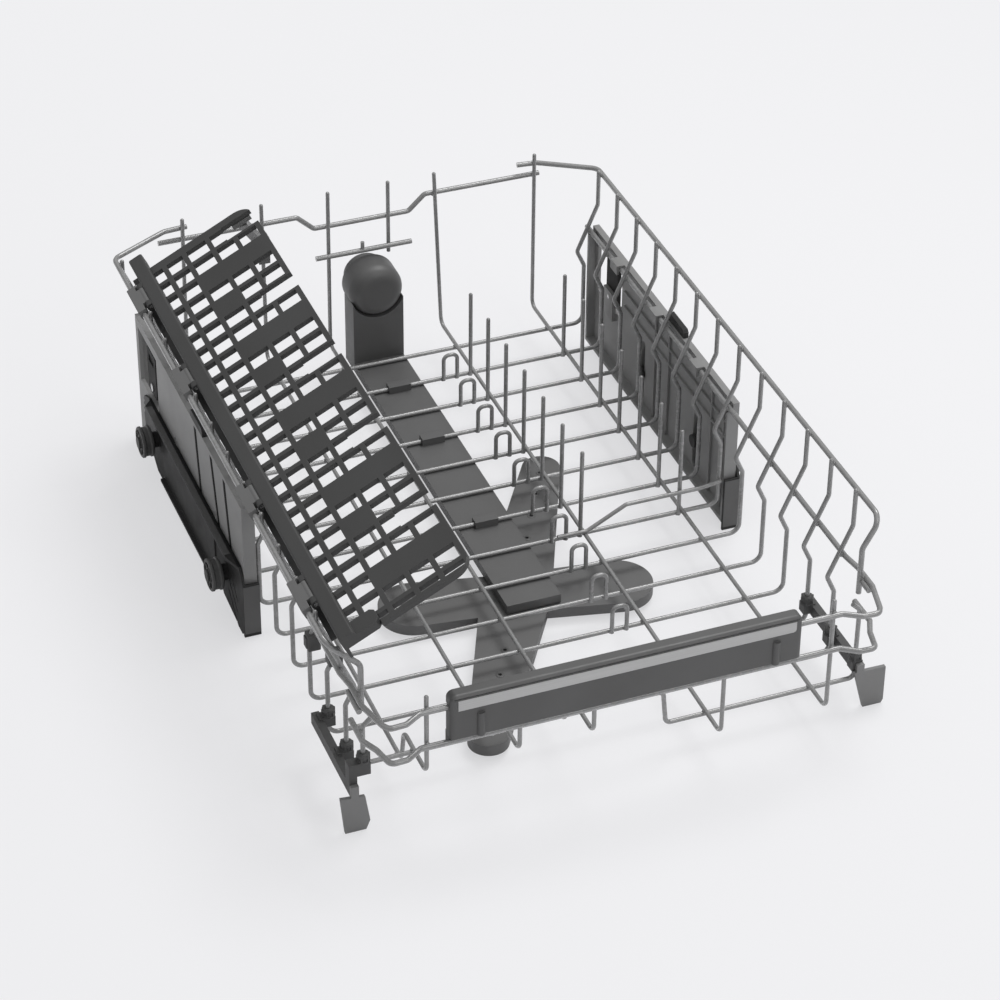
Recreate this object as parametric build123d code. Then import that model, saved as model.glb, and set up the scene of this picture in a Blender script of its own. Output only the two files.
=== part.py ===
"""Upper rack of a slimline dishwasher: wire basket, cup shelf, height adjusters, rollers and spray arm.

Sizes are in mm. X runs to the right, Y to the rear and Z up. While the pieces are made, Z = 0 is the
middle of the rim wire and Y = 0 is the rearmost cross wire. The last step moves the rack so that it
stands on Z = 0.
"""

import math
import os

from build123d import *

LEFT = -1
RIGHT = 1
SIDES = {"left": LEFT, "right": RIGHT}

# Wires
RIM_WIRE = 3.6
CROSS_WIRE = 3.0
LONG_WIRE = 2.8
WELD = 0.3
CROSS_COUNT = 13
CROSS_PITCH = 34.0
SNAP = 0.05

# Side walls, each bent wire from the tip at the rim down to the floor
TIP_Z = 2.4
WALL_TOP_X = {LEFT: -177.8, RIGHT: 166.0}
SLANT_TOP_Z = {LEFT: -6.0, RIGHT: -23.5}
KINK_X = {LEFT: -155.0, RIGHT: 151.0}
KINK_Z = -59.0
LOW_X = {LEFT: -161.0, RIGHT: 156.5}
LOW_Z = -71.0
FLOOR_Z = -119.0
FLOOR_BEND = 7.0
WALL_BEND = 4.0

# Rim
RIM_FRONT_Y = -436.0
RIM_REAR_Y = 9.0
RIM_BEND = 8.0
RIM_REAR_CORNER = {LEFT: (-140.0, 31.5), RIGHT: (131.5, 31.5)}
RIM_END_X = {LEFT: -123.5, RIGHT: 117.5}
DROP_X = 159.6
DROP_Y = -433.5
DROP_TOP_Z = -22.0
DROP_END_Z = -55.0

# Ring, its two short ends, front wire and foremost cross wire
RING_Z = -43.5
RING_REAR_Y = 6.0
RING_JOG_Y = (-411.0, -424.0)
RING_END_ANGLE = {LEFT: 50.0, RIGHT: 140.0}
RING_END_Y = {LEFT: (-426.0, -446.0), RIGHT: (-436.0, -445.0)}
FRONT_Y = -462.5
FRONT_WIRE_Z = -69.5
FRONT_WIRE_END_Y = -423.5
FRONT_BEND = 4.0
FRONT_WALL_X = 160.0
FRONT_WALL_Y = -436.0
FRONT_WALL_TOP_Z = -61.0
FRONT_WALL_HOOK = 5.0
FRONT_STEP_X = (31.0, 33.5)
FRONT_STEP_Z = -94.0

# Front corners of the ring and of the front wire: how far inside the side and behind the front each bend is
RING_CORNER = ((0.0, 18.5), (5.3, -2.5), (8.0, -7.0), (18.4, -6.5), (28.9, 0.0))
FRONT_CORNER = ((0.0, 18.0), (5.0, 7.5), (8.5, -7.5), (19.0, -7.0), (29.5, 0.0))

# Rear wall
REAR_Y = 30.1
REAR_TOP_Z = 7.0
REAR_WIRE_Z = -9.3
REAR_WIRE_DIP_Z = -20.5
REAR_WIRE_X = (-144.0, 134.0)
REAR_WIRE_DIP_X = (-45.0, -33.0, 36.5, 48.5)
REAR_CROSS_X = (-33.8, 36.5)
REAR_CROSS_Z = -41.6
REAR_STUB_X = 0.4
REAR_STUB_TOP_Z = -35.0
SHORT_UPRIGHT_X = 20.5
SHORT_UPRIGHT_END_Z = -48.0

# Floor wires from the rear to the front: x on the floor, x at the rear top, whether the front end rises
LONG_FLOOR_Z = FLOOR_Z + (CROSS_WIRE + LONG_WIRE) / 2 - WELD
LONG_WIRES = (
    (-129.0, -127.0, True),
    (-71.0, -71.0, True),
    (-24.0, -23.2, True),
    (59.5, 54.5, False),
    (129.5, 129.5, False),
)
LONG_BEND = 6.0
RISER_Y = (-415.0, -420.0)
LONG_TOP_Z = -35.0
UPRIGHT_GAP = 2.1

# Plate tines, arches and the raised wire
TINE_X = {LEFT: 57.0, RIGHT: 127.0}
TINE_ROWS = range(1, 8)
TINE_TOP_Z = -53.0
ARCH_X = (37.0, 47.0)
ARCH_TOP_Z = -99.0
ARCH_ROWS = range(1, 11)
RAISED_ROW = 7
RAISED_X = (40.0, 61.0, 88.0, 140.0)
RAISED_Z = -99.5

# Handle
HANDLE_X = (-117.0, 105.5)
HANDLE_Y = (-468.0, -459.5)
HANDLE_TOP_Z = -33.5
HANDLE_LOW_Z = -64.5
HANDLE_BLOCK = 22.0
HANDLE_WALL = 2.0
HANDLE_ROUND = 3.0
HANDLE_CORNER = 4.0
HANDLE_SEAM_Z = (-35.9, -35.2)
HANDLE_SEAM_DEPTH = 0.8
HANDLE_FOOT_Y = -458.5
HANDLE_FOOT_Z = -71.5
HANDLE_RIB_X = (-98.5, 88.5)
HANDLE_RIB_WIDTH = 5.0
HANDLE_RIB_OUT = 2.2
HANDLE_RIB_TOP_Z = -48.0
INLAY_X = (-112.5, 101.0)
INLAY_Z = (-43.8, -36.6)
INLAY_DEPTH = 0.8
INLAY_THICK = 1.1
INLAY_CORNER = 2.0

# Cup shelf, set out along u (inward), y and n (up from its plane)
HINGE_X = -176.0
HINGE_Z = 4.5
SHELF_TILT = 27.0
HINGE_PIN_R = 1.2
HINGE_PLAY = 0.05
KNUCKLE_R = 2.6
KNUCKLE_LENGTH = 5.0
LUG_LENGTH = 16.0
LUG_GAP = 0.3
BAR_U = (1.5, 11.5)
BAR_N = (-6.0, 3.0)
BAR_Y = (-445.0, -10.0)
BAR_SKIRT = (1.7, 7.0)
BAR_LIP_U = -3.5
BAR_LIP = 1.2
BAR_LIP_FRONT_Y = -424.0
BAR_FOOT = (12.0, 16.0)
BAR_FOOT_CORNER = 2.5
BAR_ROUND = 1.5
LATTICE_U = 89.0
LATTICE_Y = (-438.0, -22.0)
LATTICE_FRONT = 8.0
LATTICE_THICK = 3.5
LATTICE_RIBS_U = (20.0, 35.5, 53.6, 70.0)
RIB = 3.5
RIB_PITCH = 17.0
LATTICE_CORNER = 12.0
MODULE = 5
STEM_NOTCH = (16.0, 24.0)
CLIP_BAYS = (1, 4, 8, 11)
CLIP_TOP_N = 2.3
CLIP_WALL = 0.9
CLIP_ROUND = 0.6
CLIP_MOUTH = 3.0
CLIP_SPACE = 2.8
CLIP_PLAY = 0.1

# Stay that carries the shelf's rear corner
STAY_Z = (-37.0, -17.0)
STAY_CLAMP = 8.0
STAY_PAD_U = (72.0, 86.0)
STAY_PAD_Y = (-29.5, -22.5)
STAY_PAD = 3.0
STAY_BAR = 6.0
STAY_REST = 0.3

# Height adjusters, set out from the ring wire's side: out is how far outside its middle a point is
PANEL_OUT = (-1.9, 6.6)
PANEL_Y = (-240.0, 0.0)
PANEL_Z = (-134.0, -40.0)
PANEL_WALL = 2.5
RAIL_THICK = 1.6
RAIL_INNER = 2.1
RING_PLAY = 0.1
HOOK_BAYS = (1, 3, 5)
HOOK_LENGTH = 12.0
HOOK_DROP = 7.0
HOOK_THICK = 1.6
GROOVES = (
    ((-140.0, -43.0), (-148.0, -94.0)),
    ((-175.0, -43.0), (-188.5, -96.0)),
    ((-203.0, -43.0), (-213.0, -94.0)),
)
GROOVE_WIDTH = 6.0
GROOVE_DEPTH = 1.8
WINDOW_Y = (-50.0, -6.0)
WINDOW_Z = (-89.0, -47.0)
CATCH_Y = (-157.0, -130.0)
CATCH_OUT = 2.9
CATCH_HEIGHT = 6.0

# Release lever in the panel's window
LEVER_Y = (-44.0, -24.0)
LEVER_Z = (-84.0, -50.0)
LEVER_OUT = (3.3, 5.9)
LEVER_PIVOT = (-34.0, -78.5)
LEVER_ROUND = 2.0
LEVER_GRIP_SIDE = 4.0
LEVER_GRIP_BELOW = (10.0, 4.0)
LEVER_GRIP_DEPTH = 1.0
LEVER_PIN_R = 1.5
LEVER_PIN_HEAD_R = 2.8
LEVER_PIN_HEAD = 0.6
LEVER_PLAY = 0.05
LEVER_BOSS = 0.3
LEVER_BOSS_HALF = 8.0
LEVER_BOSS_FOOT = 6.0
LEVER_BOSS_ABOVE = 5.0

# Carriage that slides on the panel
CARRIAGE_OUT = (6.9, 8.7)
CARRIAGE_TOP_Z = -88.0
CARRIAGE_FRONT_Z = -98.0
CARRIAGE_LOW_Z = -135.0
CARRIAGE_REAR_Y = -20.0
CARRIAGE_END_PLAY = 1.2
CARRIAGE_END_WALL = 1.8
CARRIAGE_END_OUT = -2.4
SKIRT_Y = (-226.0, -238.0)
REAR_FOOT_Y = (-45.0, -58.0)
BASE_Z = -139.0
FLANGE_OUT = 13.4
FLANGE_THICK = 2.0
FLANGE_REAR_Y = -32.0
FLANGE_FRONT_Y = -236.0
FLANGE_TAPER = (8.0, 14.0)
FACE_OUT = 9.6
FACE_Y = (-184.0, -66.0)
FACE_Z = (-131.0, -92.0)
LIP_OUT = 12.6
LIP_THICK = 2.0
TEETH = 4
TOOTH = 4.0
TOOTH_DEPTH = 2.8
TEETH_BELOW = 5.0
REAR_CORNER = 12.0
FOOT_SLOPE = (6.0, 4.0)
LOW_STEP = 5.0
LOW_STEP_Y = (40.0, 24.0)
RECESS_SIDE = (3.0, -2.0)
SKIRT_CORNER = (3.0, 1.5)
SKIRT_RISE = 4.0
VENT_COUNT = 3
VENT_START = (-214.0, -103.0)
VENT_RUN = (-17.0, -15.0)
VENT_STEP = (2.0, -9.0)
VENT_WIDTH = 2.4
PEG_Y = (-90.0, -180.0)
PEG_R = 2.9
PEG_PLAY = 0.1
PEG_HEAD_R = 4.6
PEG_HEAD = 2.0
PEG_HEAD_PLAY = 0.2
PEG_LOW_PLAY = 0.9
TRAVEL_DOWN = 18.0
TRAVEL_UP = 22.0
PEG_Z = PANEL_Z[0] + PANEL_WALL + PEG_LOW_PLAY + PEG_HEAD_R + TRAVEL_DOWN

# Rollers
ROLLER_Y = {"rear": -48.0, "front": -207.0}
ROLLER_Z = -111.0
ROLLER_R = 10.9
ROLLER_WIDTH = 8.0
ROLLER_RIM = 1.0
ROLLER_PLAY = 0.05
ROLLER_END_PLAY = 0.25
AXLE_R = 2.5
AXLE_HEAD_R = 4.2
AXLE_HEAD = 1.2
HUB_R = 5.5
HUB = 4.0

# Guide arms and end plates at the front, each plate's outline in X and Z
ARM_X = {LEFT: -167.5, RIGHT: 161.0}
ARM_THICK = 5.0
ARM_Z = (-113.0, -105.0)
ARM_REAR_REACH = 6.0
ARM_CLIP_ROWS = (11, 12)
ARM_CLIP_Z = (-111.0, -104.0)
ARM_CLIP = 7.0
ARM_CLIP_WALL = 2.0
ARM_FOOT_Z = (-100.0, -91.0)
PLATE_Y = (-442.5, -440.0)
PLATE_OUTLINE = {
    LEFT: ((-176.6, -112.3), (-161.2, -113.9), (-158.4, -132.6), (-161.0, BASE_Z), (-174.1, BASE_Z)),
    RIGHT: ((157.0, -110.4), (178.3, -110.8), (178.4, -136.3), (177.1, BASE_Z), (164.6, BASE_Z)),
}
PLATE_TAB_Z = -115.0

# Water feed and spray arm
FEED_X = 4.5
NOSE_Z = -66.0
NOSE_R = 19.5
NOSE_Y = (5.0, 28.0)
NOSE_ROUND = 9.0
INLET_R = 15.0
INLET_BORE_R = 12.0
INLET_END_Y = 38.0
INLET_DEPTH = 16.0
DUCT_WIDTH = 37.0
DUCT_Y = (7.0, 26.0)
DUCT_Z = (-127.2, -120.9)
DUCT_WALL = 1.6
DUCT_END = 20.0
DUCT_CLIP_ROWS = (1, 3, 6)
DUCT_CLIP = (16.0, 7.0)
DUCT_CLIP_TOP = 1.8
SPRAY_X = 0.0
SPRAY_Y = -272.0
SPIGOT_R = 12.0
SPIGOT_BORE_R = 8.0
SPRAY_PLAY = 0.05
SPRAY_Z = (-135.4, -128.0)
SPRAY_WALL = 1.5
SPRAY_HUB_R = 24.0
LONG_BLADE_ANGLE = 242.0
LONG_BLADE = 155.0
LONG_BLADE_WIDTH = (46.0, 26.0)
WIDE_BLADE_ANGLE = 170.0
WIDE_BLADE = 90.0
WIDE_BLADE_WIDTH = (40.0, 46.0)
JET_R = 1.6
JET_RADII = (60.0, 85.0, 110.0, 135.0)
NUT_R = 15.0
NUT_Z = (-138.2, -135.6)
NUT_GRIPS = 8
NUT_GRIP_R = 1.6


def cross_y(row):
    """Y of a cross wire, counted from the rear."""
    return -CROSS_PITCH * row


def welded(one, other):
    """How far apart the middles of two welded wires are."""
    return (one + other) / 2 - WELD


def block(x, y, z):
    """A box between two values of x, of y and of z."""
    spans = [(min(pair), max(pair)) for pair in (x, y, z)]
    size = [high - low for low, high in spans]
    middle = [(high + low) / 2 for low, high in spans]
    return Pos(*middle) * Box(*size)


def wire(points, diameter, bend=0.0):
    """A round wire along straight legs, with each corner bent to this radius."""
    path = FilletPolyline(*points, radius=bend) if len(points) > 2 else Line(*points)
    start = Plane(origin=path @ 0, z_dir=path % 0)
    return sweep(start * Circle(diameter / 2), path)


def rod(x, y, z, radius, axis):
    """A cylinder along one axis, whose value is a pair and whose other two values are its middle line."""
    values = {"X": x, "Y": y, "Z": z}
    low, high = sorted(values[axis])
    middle = [(low + high) / 2 if name == axis else values[name] for name in "XYZ"]
    turn = {"X": Rot(0, 90, 0), "Y": Rot(90, 0, 0), "Z": Rot(0, 0, 0)}[axis]
    return Pos(*middle) * turn * Cylinder(radius, high - low)


def joined(pieces):
    """The pieces of one node as one shape."""
    pieces = list(pieces)
    return Compound(children=pieces) if len(pieces) > 1 else pieces[0]


def wall_x(side, z):
    """X of a side wall wire's middle at a height."""
    if z >= SLANT_TOP_Z[side]:
        return WALL_TOP_X[side]
    if z >= KINK_Z:
        part = (z - SLANT_TOP_Z[side]) / (KINK_Z - SLANT_TOP_Z[side])
        return WALL_TOP_X[side] + part * (KINK_X[side] - WALL_TOP_X[side])
    if z >= LOW_Z:
        return KINK_X[side] + (z - KINK_Z) / (LOW_Z - KINK_Z) * (LOW_X[side] - KINK_X[side])
    return LOW_X[side]


def rim_x(side):
    """X of the rim wire along a side."""
    return WALL_TOP_X[side] + side * welded(RIM_WIRE, CROSS_WIRE)


def ring_x(side):
    """X of the ring wire along a side, welded outside the slanted wall wires."""
    slant = math.atan2(abs(KINK_X[side] - WALL_TOP_X[side]), SLANT_TOP_Z[side] - KINK_Z)
    return wall_x(side, RING_Z) + side * welded(RIM_WIRE, CROSS_WIRE) / math.cos(slant)


def out_x(side, out):
    """X of a point this far outside the ring wire's side."""
    return ring_x(side) + side * out


def side_block(side, out, y, z):
    """A box set out from the ring wire's side."""
    return block([out_x(side, value) for value in out], y, z)


def side_rod(side, out, y, z, radius):
    """A cylinder along X, set out from the ring wire's side."""
    return rod([out_x(side, value) for value in out], y, z, radius, "X")


def side_plate(side, out, points):
    """A flat plate of this outline in Y and Z, between two distances outside the ring wire's side."""
    low, high = sorted(out_x(side, value) for value in out)
    face = make_face(Polyline(*points, close=True))
    return extrude(Plane(origin=(low, 0, 0), x_dir=(0, 1, 0), z_dir=(1, 0, 0)) * face, amount=high - low)


def ball_ended(shape, point, diameter):
    """A wire with a round end at a point."""
    return shape + Pos(*point) * Sphere(diameter / 2)


def wall_wires(side):
    """The wall parts of the cross wires on one side, down to where they bend to the floor."""
    wires = []
    for row in range(CROSS_COUNT):
        y = cross_y(row)
        points = [
            (WALL_TOP_X[side], y, TIP_Z),
            (WALL_TOP_X[side], y, SLANT_TOP_Z[side]),
            (KINK_X[side], y, KINK_Z),
            (LOW_X[side], y, LOW_Z),
            (LOW_X[side], y, FLOOR_Z + FLOOR_BEND),
        ]
        wires.append(ball_ended(wire(points, CROSS_WIRE, WALL_BEND), points[0], CROSS_WIRE))
    return joined(wires)


def floor_cross_wires():
    """The floor parts of the cross wires, with both lower bends."""
    wires = []
    for row in range(CROSS_COUNT):
        y = cross_y(row)
        points = [
            (LOW_X[LEFT], y, FLOOR_Z + FLOOR_BEND),
            (LOW_X[LEFT], y, FLOOR_Z),
            (LOW_X[RIGHT], y, FLOOR_Z),
            (LOW_X[RIGHT], y, FLOOR_Z + FLOOR_BEND),
        ]
        wires.append(wire(points, CROSS_WIRE, FLOOR_BEND - SNAP))
    return joined(wires)


def front_cross_wire(play=0.0):
    """The foremost cross wire, hooked inward at its tops and raised over the left of the floor."""
    hook = FRONT_WALL_X - FRONT_WALL_HOOK
    raised_end, low_start = FRONT_STEP_X
    points = [
        (-hook, FRONT_WALL_Y, FRONT_WALL_TOP_Z),
        (-FRONT_WALL_X, FRONT_WALL_Y, FRONT_WALL_TOP_Z - FRONT_WALL_HOOK),
        (-FRONT_WALL_X, FRONT_WALL_Y, FRONT_STEP_Z),
        (raised_end, FRONT_WALL_Y, FRONT_STEP_Z),
        (low_start, FRONT_WALL_Y, FLOOR_Z),
        (FRONT_WALL_X, FRONT_WALL_Y, FLOOR_Z),
        (FRONT_WALL_X, FRONT_WALL_Y, FRONT_WALL_TOP_Z - FRONT_WALL_HOOK),
        (hook, FRONT_WALL_Y, FRONT_WALL_TOP_Z),
    ]
    return wire(points, CROSS_WIRE + 2 * play, FRONT_BEND)


def rim_wire(side):
    """One half of the rim: behind the rear uprights, along the side, then down at the front corner."""
    corner_x, corner_y = RIM_REAR_CORNER[side]
    points = [
        (RIM_END_X[side], rear_wire_y(), 0),
        (corner_x, corner_y, 0),
        (rim_x(side), RIM_REAR_Y, 0),
        (rim_x(side), RIM_FRONT_Y, 0),
        (side * DROP_X, DROP_Y, DROP_TOP_Z),
        (side * DROP_X, DROP_Y, DROP_END_Z),
    ]
    return wire(points, RIM_WIRE, RIM_BEND)


def ring_front_x():
    """How far from the middle the ring wire's front arms are, welded outside the rim's drops."""
    return DROP_X + welded(RIM_WIRE, RIM_WIRE)


def front_corner(side, x, corner, z):
    """The bends of a front wire at one front corner."""
    return [(side * (x - inside), FRONT_Y + behind, z) for inside, behind in corner]


def ring_wire():
    """The wire round both sides and the front at the height of the panels' hooks."""
    half = {}
    for side in (LEFT, RIGHT):
        half[side] = [
            (ring_x(side), RING_REAR_Y, RING_Z),
            (ring_x(side), RING_JOG_Y[0], RING_Z),
            (side * ring_front_x(), RING_JOG_Y[1], RING_Z),
            *front_corner(side, ring_front_x(), RING_CORNER, RING_Z),
        ]
    return wire(half[LEFT] + half[RIGHT][::-1], RIM_WIRE, FRONT_BEND)


def side_wire(side):
    """The short wire end along the ring's front arm: outside it on the left, inside it on the right."""
    angle = math.radians(RING_END_ANGLE[side])
    reach = welded(RIM_WIRE, RIM_WIRE)
    x = side * (ring_front_x() + reach * math.cos(angle))
    z = RING_Z - reach * math.sin(angle)
    return wire([(x, y, z) for y in RING_END_Y[side]], RIM_WIRE)


def front_wire():
    """The lower wire round the front, welded outside the foremost cross wire."""
    front_x = FRONT_WALL_X + welded(RIM_WIRE, CROSS_WIRE)
    half = {}
    for side in (LEFT, RIGHT):
        rear_end = (side * front_x, FRONT_WIRE_END_Y, FRONT_WIRE_Z)
        half[side] = [rear_end, *front_corner(side, front_x, FRONT_CORNER, FRONT_WIRE_Z)]
    return wire(half[LEFT] + half[RIGHT][::-1], RIM_WIRE, FRONT_BEND)


def rear_wire_y():
    """Y of the wires that are welded behind the rear uprights."""
    return REAR_Y + welded(RIM_WIRE, LONG_WIRE)


def rear_wire():
    """The wire across the rear, bent down over the middle."""
    y = rear_wire_y()
    points = [
        (REAR_WIRE_X[0], y, REAR_WIRE_Z),
        (REAR_WIRE_DIP_X[0], y, REAR_WIRE_Z),
        (REAR_WIRE_DIP_X[1], y, REAR_WIRE_DIP_Z),
        (REAR_WIRE_DIP_X[2], y, REAR_WIRE_DIP_Z),
        (REAR_WIRE_DIP_X[3], y, REAR_WIRE_Z),
        (REAR_WIRE_X[1], y, REAR_WIRE_Z),
    ]
    return wire(points, RIM_WIRE, FRONT_BEND)


def rear_cross_wire():
    """The short wire before the middle uprights, with its stub."""
    y = REAR_Y - welded(RIM_WIRE, LONG_WIRE)
    across = wire([(x, y, REAR_CROSS_Z) for x in REAR_CROSS_X], RIM_WIRE)
    stub = wire([(REAR_STUB_X, y, REAR_CROSS_Z), (REAR_STUB_X, y, REAR_STUB_TOP_Z)], LONG_WIRE)
    return across + stub


def short_upright():
    """The upright that ends above the feed nose."""
    top = (SHORT_UPRIGHT_X, REAR_Y, REAR_TOP_Z)
    upright = wire([top, (SHORT_UPRIGHT_X, REAR_Y, SHORT_UPRIGHT_END_Z)], LONG_WIRE)
    return ball_ended(upright, top, LONG_WIRE)


def front_upright_y():
    """Y of the uprights that are welded behind the ring and the front wire."""
    return FRONT_Y + welded(RIM_WIRE, LONG_WIRE)


def front_top_z(x):
    """Where a front upright ends: lower behind the handle, so that it stays under the handle's top."""
    if HANDLE_X[0] < x < HANDLE_X[1]:
        return HANDLE_TOP_Z - HANDLE_WALL - LONG_WIRE / 2 - UPRIGHT_GAP
    return LONG_TOP_Z


def floor_long_wires():
    """The wires along the floor, each with its rear and its front upright."""
    wires = []
    raised_z = FRONT_STEP_Z + welded(CROSS_WIRE, LONG_WIRE)
    for x, rear_x, rises in LONG_WIRES:
        top = (rear_x, REAR_Y, REAR_TOP_Z)
        end = (x, front_upright_y(), front_top_z(x))
        riser = [(x, RISER_Y[0], LONG_FLOOR_Z), (x, RISER_Y[1], raised_z)] if rises else []
        front_z = raised_z if rises else LONG_FLOOR_Z
        points = [top, (x, REAR_Y, LONG_FLOOR_Z), *riser, (x, front_upright_y(), front_z), end]
        long_wire = wire(points, LONG_WIRE, LONG_BEND)
        wires.append(ball_ended(ball_ended(long_wire, top, LONG_WIRE), end, LONG_WIRE))
    return joined(wires)


def tine_y(row):
    """Y of what is welded before a cross wire."""
    return cross_y(row) - welded(CROSS_WIRE, LONG_WIRE)


def plate_tines(side):
    """One row of straight tines."""
    tines = []
    for row in TINE_ROWS:
        top = (TINE_X[side], tine_y(row), TINE_TOP_Z)
        foot = (TINE_X[side], tine_y(row), FLOOR_Z)
        tines.append(ball_ended(wire([foot, top], LONG_WIRE), top, LONG_WIRE))
    return joined(tines)


def short_arches():
    """The low arches beside the plates."""
    left, right = ARCH_X
    arches = []
    for row in ARCH_ROWS:
        y = tine_y(row)
        points = [(left, y, FLOOR_Z), (left, y, ARCH_TOP_Z), (right, y, ARCH_TOP_Z), (right, y, FLOOR_Z)]
        arches.append(wire(points, LONG_WIRE, FRONT_BEND))
    return joined(arches)


def raised_cross_wire():
    """The wire that rises from the floor to a shelf height before the tines."""
    y = tine_y(RAISED_ROW) - welded(LONG_WIRE, LONG_WIRE)
    low_z = LONG_FLOOR_Z + welded(LONG_WIRE, LONG_WIRE)
    points = [
        (RAISED_X[0], y, low_z),
        (RAISED_X[1], y, low_z),
        (RAISED_X[2], y, RAISED_Z),
        (RAISED_X[3], y, RAISED_Z),
        (LOW_X[RIGHT], tine_y(RAISED_ROW), RAISED_Z),
    ]
    return wire(points, LONG_WIRE, FRONT_BEND)


def wire_slot(y, z, diameter, rear_y):
    """A slot for a front wire, open to the rear."""
    gap = diameter / 2 + SNAP
    x = (HANDLE_X[0] - HANDLE_WALL, HANDLE_X[1] + HANDLE_WALL)
    return rod(x, y, z, gap, "X") + block(x, (y, rear_y + HANDLE_WALL), (z - gap, z + gap))


def inlay_shape(front, rear):
    """The inlay strip's shape between two values of y, with its lower right corner rounded."""
    strip = block(INLAY_X, (front, rear), INLAY_Z)
    corner = strip.edges().filter_by(Axis.Y).group_by(Axis.X)[-1].group_by(Axis.Z)[0]
    return fillet(corner, INLAY_CORNER)


def handle_rib(x):
    """A half-round rib down the handle's face."""
    radius = (HANDLE_RIB_WIDTH**2 / 4 + HANDLE_RIB_OUT**2) / (2 * HANDLE_RIB_OUT)
    return rod(x, HANDLE_Y[0] - HANDLE_RIB_OUT + radius, (HANDLE_LOW_Z, HANDLE_RIB_TOP_Z), radius, "Z")


def handle_shell():
    """The handle: a shell clipped over the ring wire, with end blocks whose feet hold the front wire."""
    front, rear = HANDLE_Y
    shell = block(HANDLE_X, HANDLE_Y, (HANDLE_LOW_Z, HANDLE_TOP_Z))
    shell = fillet(shell.edges().filter_by(Axis.Y).group_by(Axis.Z)[-1], HANDLE_CORNER)
    face_edges = shell.faces().sort_by(Axis.Y)[0].edges()
    top_edges = face_edges.filter_by_position(Axis.Z, HANDLE_TOP_Z - HANDLE_CORNER, HANDLE_TOP_Z)
    shell = fillet(top_edges, HANDLE_ROUND)
    shell -= block(HANDLE_X, (front, front + HANDLE_SEAM_DEPTH), HANDLE_SEAM_Z)
    hollow_x = (HANDLE_X[0] + HANDLE_BLOCK, HANDLE_X[1] - HANDLE_BLOCK)
    hollow_z = (HANDLE_LOW_Z - HANDLE_WALL, HANDLE_TOP_Z - HANDLE_WALL)
    shell -= block(hollow_x, (front + HANDLE_WALL, rear + HANDLE_WALL), hollow_z)
    for x in HANDLE_RIB_X:
        shell += handle_rib(x)
    for left in (HANDLE_X[0], HANDLE_X[1] - HANDLE_BLOCK):
        foot_z = (HANDLE_FOOT_Z, HANDLE_LOW_Z + HANDLE_WALL)
        shell += block((left, left + HANDLE_BLOCK), (FRONT_Y, HANDLE_FOOT_Y), foot_z)
    shell -= wire_slot(FRONT_Y, RING_Z, RIM_WIRE, rear)
    shell -= rod(HANDLE_X, FRONT_Y, FRONT_WIRE_Z, RIM_WIRE / 2 + SNAP, "X")
    return shell - inlay_shape(front, front + INLAY_DEPTH)


def handle_inlay():
    """The lighter strip set in the handle's face."""
    front = HANDLE_Y[0]
    return inlay_shape(front + INLAY_DEPTH - INLAY_THICK, front + INLAY_DEPTH)


def shelf_place():
    """Places a shape that is set out along u, y and n on the tilted shelf."""
    tilt = math.radians(SHELF_TILT)
    along = (math.cos(tilt), 0, math.sin(tilt))
    normal = (-math.sin(tilt), 0, math.cos(tilt))
    return Plane(origin=(HINGE_X, 0, HINGE_Z), x_dir=along, z_dir=normal).location


def lug_y(bay):
    """Y of a hinge lug's middle, halfway between two wall wires."""
    return cross_y(bay) - CROSS_PITCH / 2


def shelf_bar():
    """The solid bar along the hinge, with a pair of knuckles at each lug."""
    bar = block(BAR_U, BAR_Y, BAR_N)
    bar = fillet(bar.edges().filter_by(Axis.Y).group_by(Axis.Z)[-1], BAR_ROUND)
    skirt_thick, skirt_depth = BAR_SKIRT
    skirt_u = (BAR_U[0], BAR_U[0] + skirt_thick)
    skirt_low = BAR_N[0] - skirt_depth
    bar += block(skirt_u, BAR_Y, (skirt_low, BAR_N[0] + skirt_thick))
    bar += block((BAR_LIP_U, skirt_u[1]), (BAR_LIP_FRONT_Y, BAR_Y[1]), (skirt_low, skirt_low + BAR_LIP))
    foot_length, foot_width = BAR_FOOT
    foot_u = (BAR_U[1] - BAR_ROUND, BAR_U[1] + foot_width)
    foot = block(foot_u, (BAR_Y[0], BAR_Y[0] + foot_length), (BAR_N[0], 0))
    bar += chamfer(foot.edges().filter_by(Axis.Z).group_by(Axis.X)[-1], BAR_FOOT_CORNER)
    for bay in CLIP_BAYS:
        middle = lug_y(bay)
        free = LUG_LENGTH / 2 + LUG_GAP
        ends = free + KNUCKLE_LENGTH
        bar += rod(0, (middle - ends, middle + ends), 0, KNUCKLE_R, "Y")
        bar += block((0, BAR_U[0] + 1), (middle - ends, middle + ends), (-KNUCKLE_R, KNUCKLE_R))
        bar -= rod(0, (middle - free, middle + free), 0, KNUCKLE_R + 2 * LUG_GAP, "Y")
        bar -= rod(0, (middle - ends, middle + ends), 0, HINGE_PIN_R, "Y")
    return shelf_place() * bar


def shelf_hinge_pins():
    """One pin through each lug and its two knuckles."""
    ends = LUG_LENGTH / 2 + LUG_GAP + KNUCKLE_LENGTH
    pins = [rod(0, (lug_y(bay) - ends, lug_y(bay) + ends), 0, HINGE_PIN_R, "Y") for bay in CLIP_BAYS]
    return shelf_place() * joined(pins)


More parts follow.
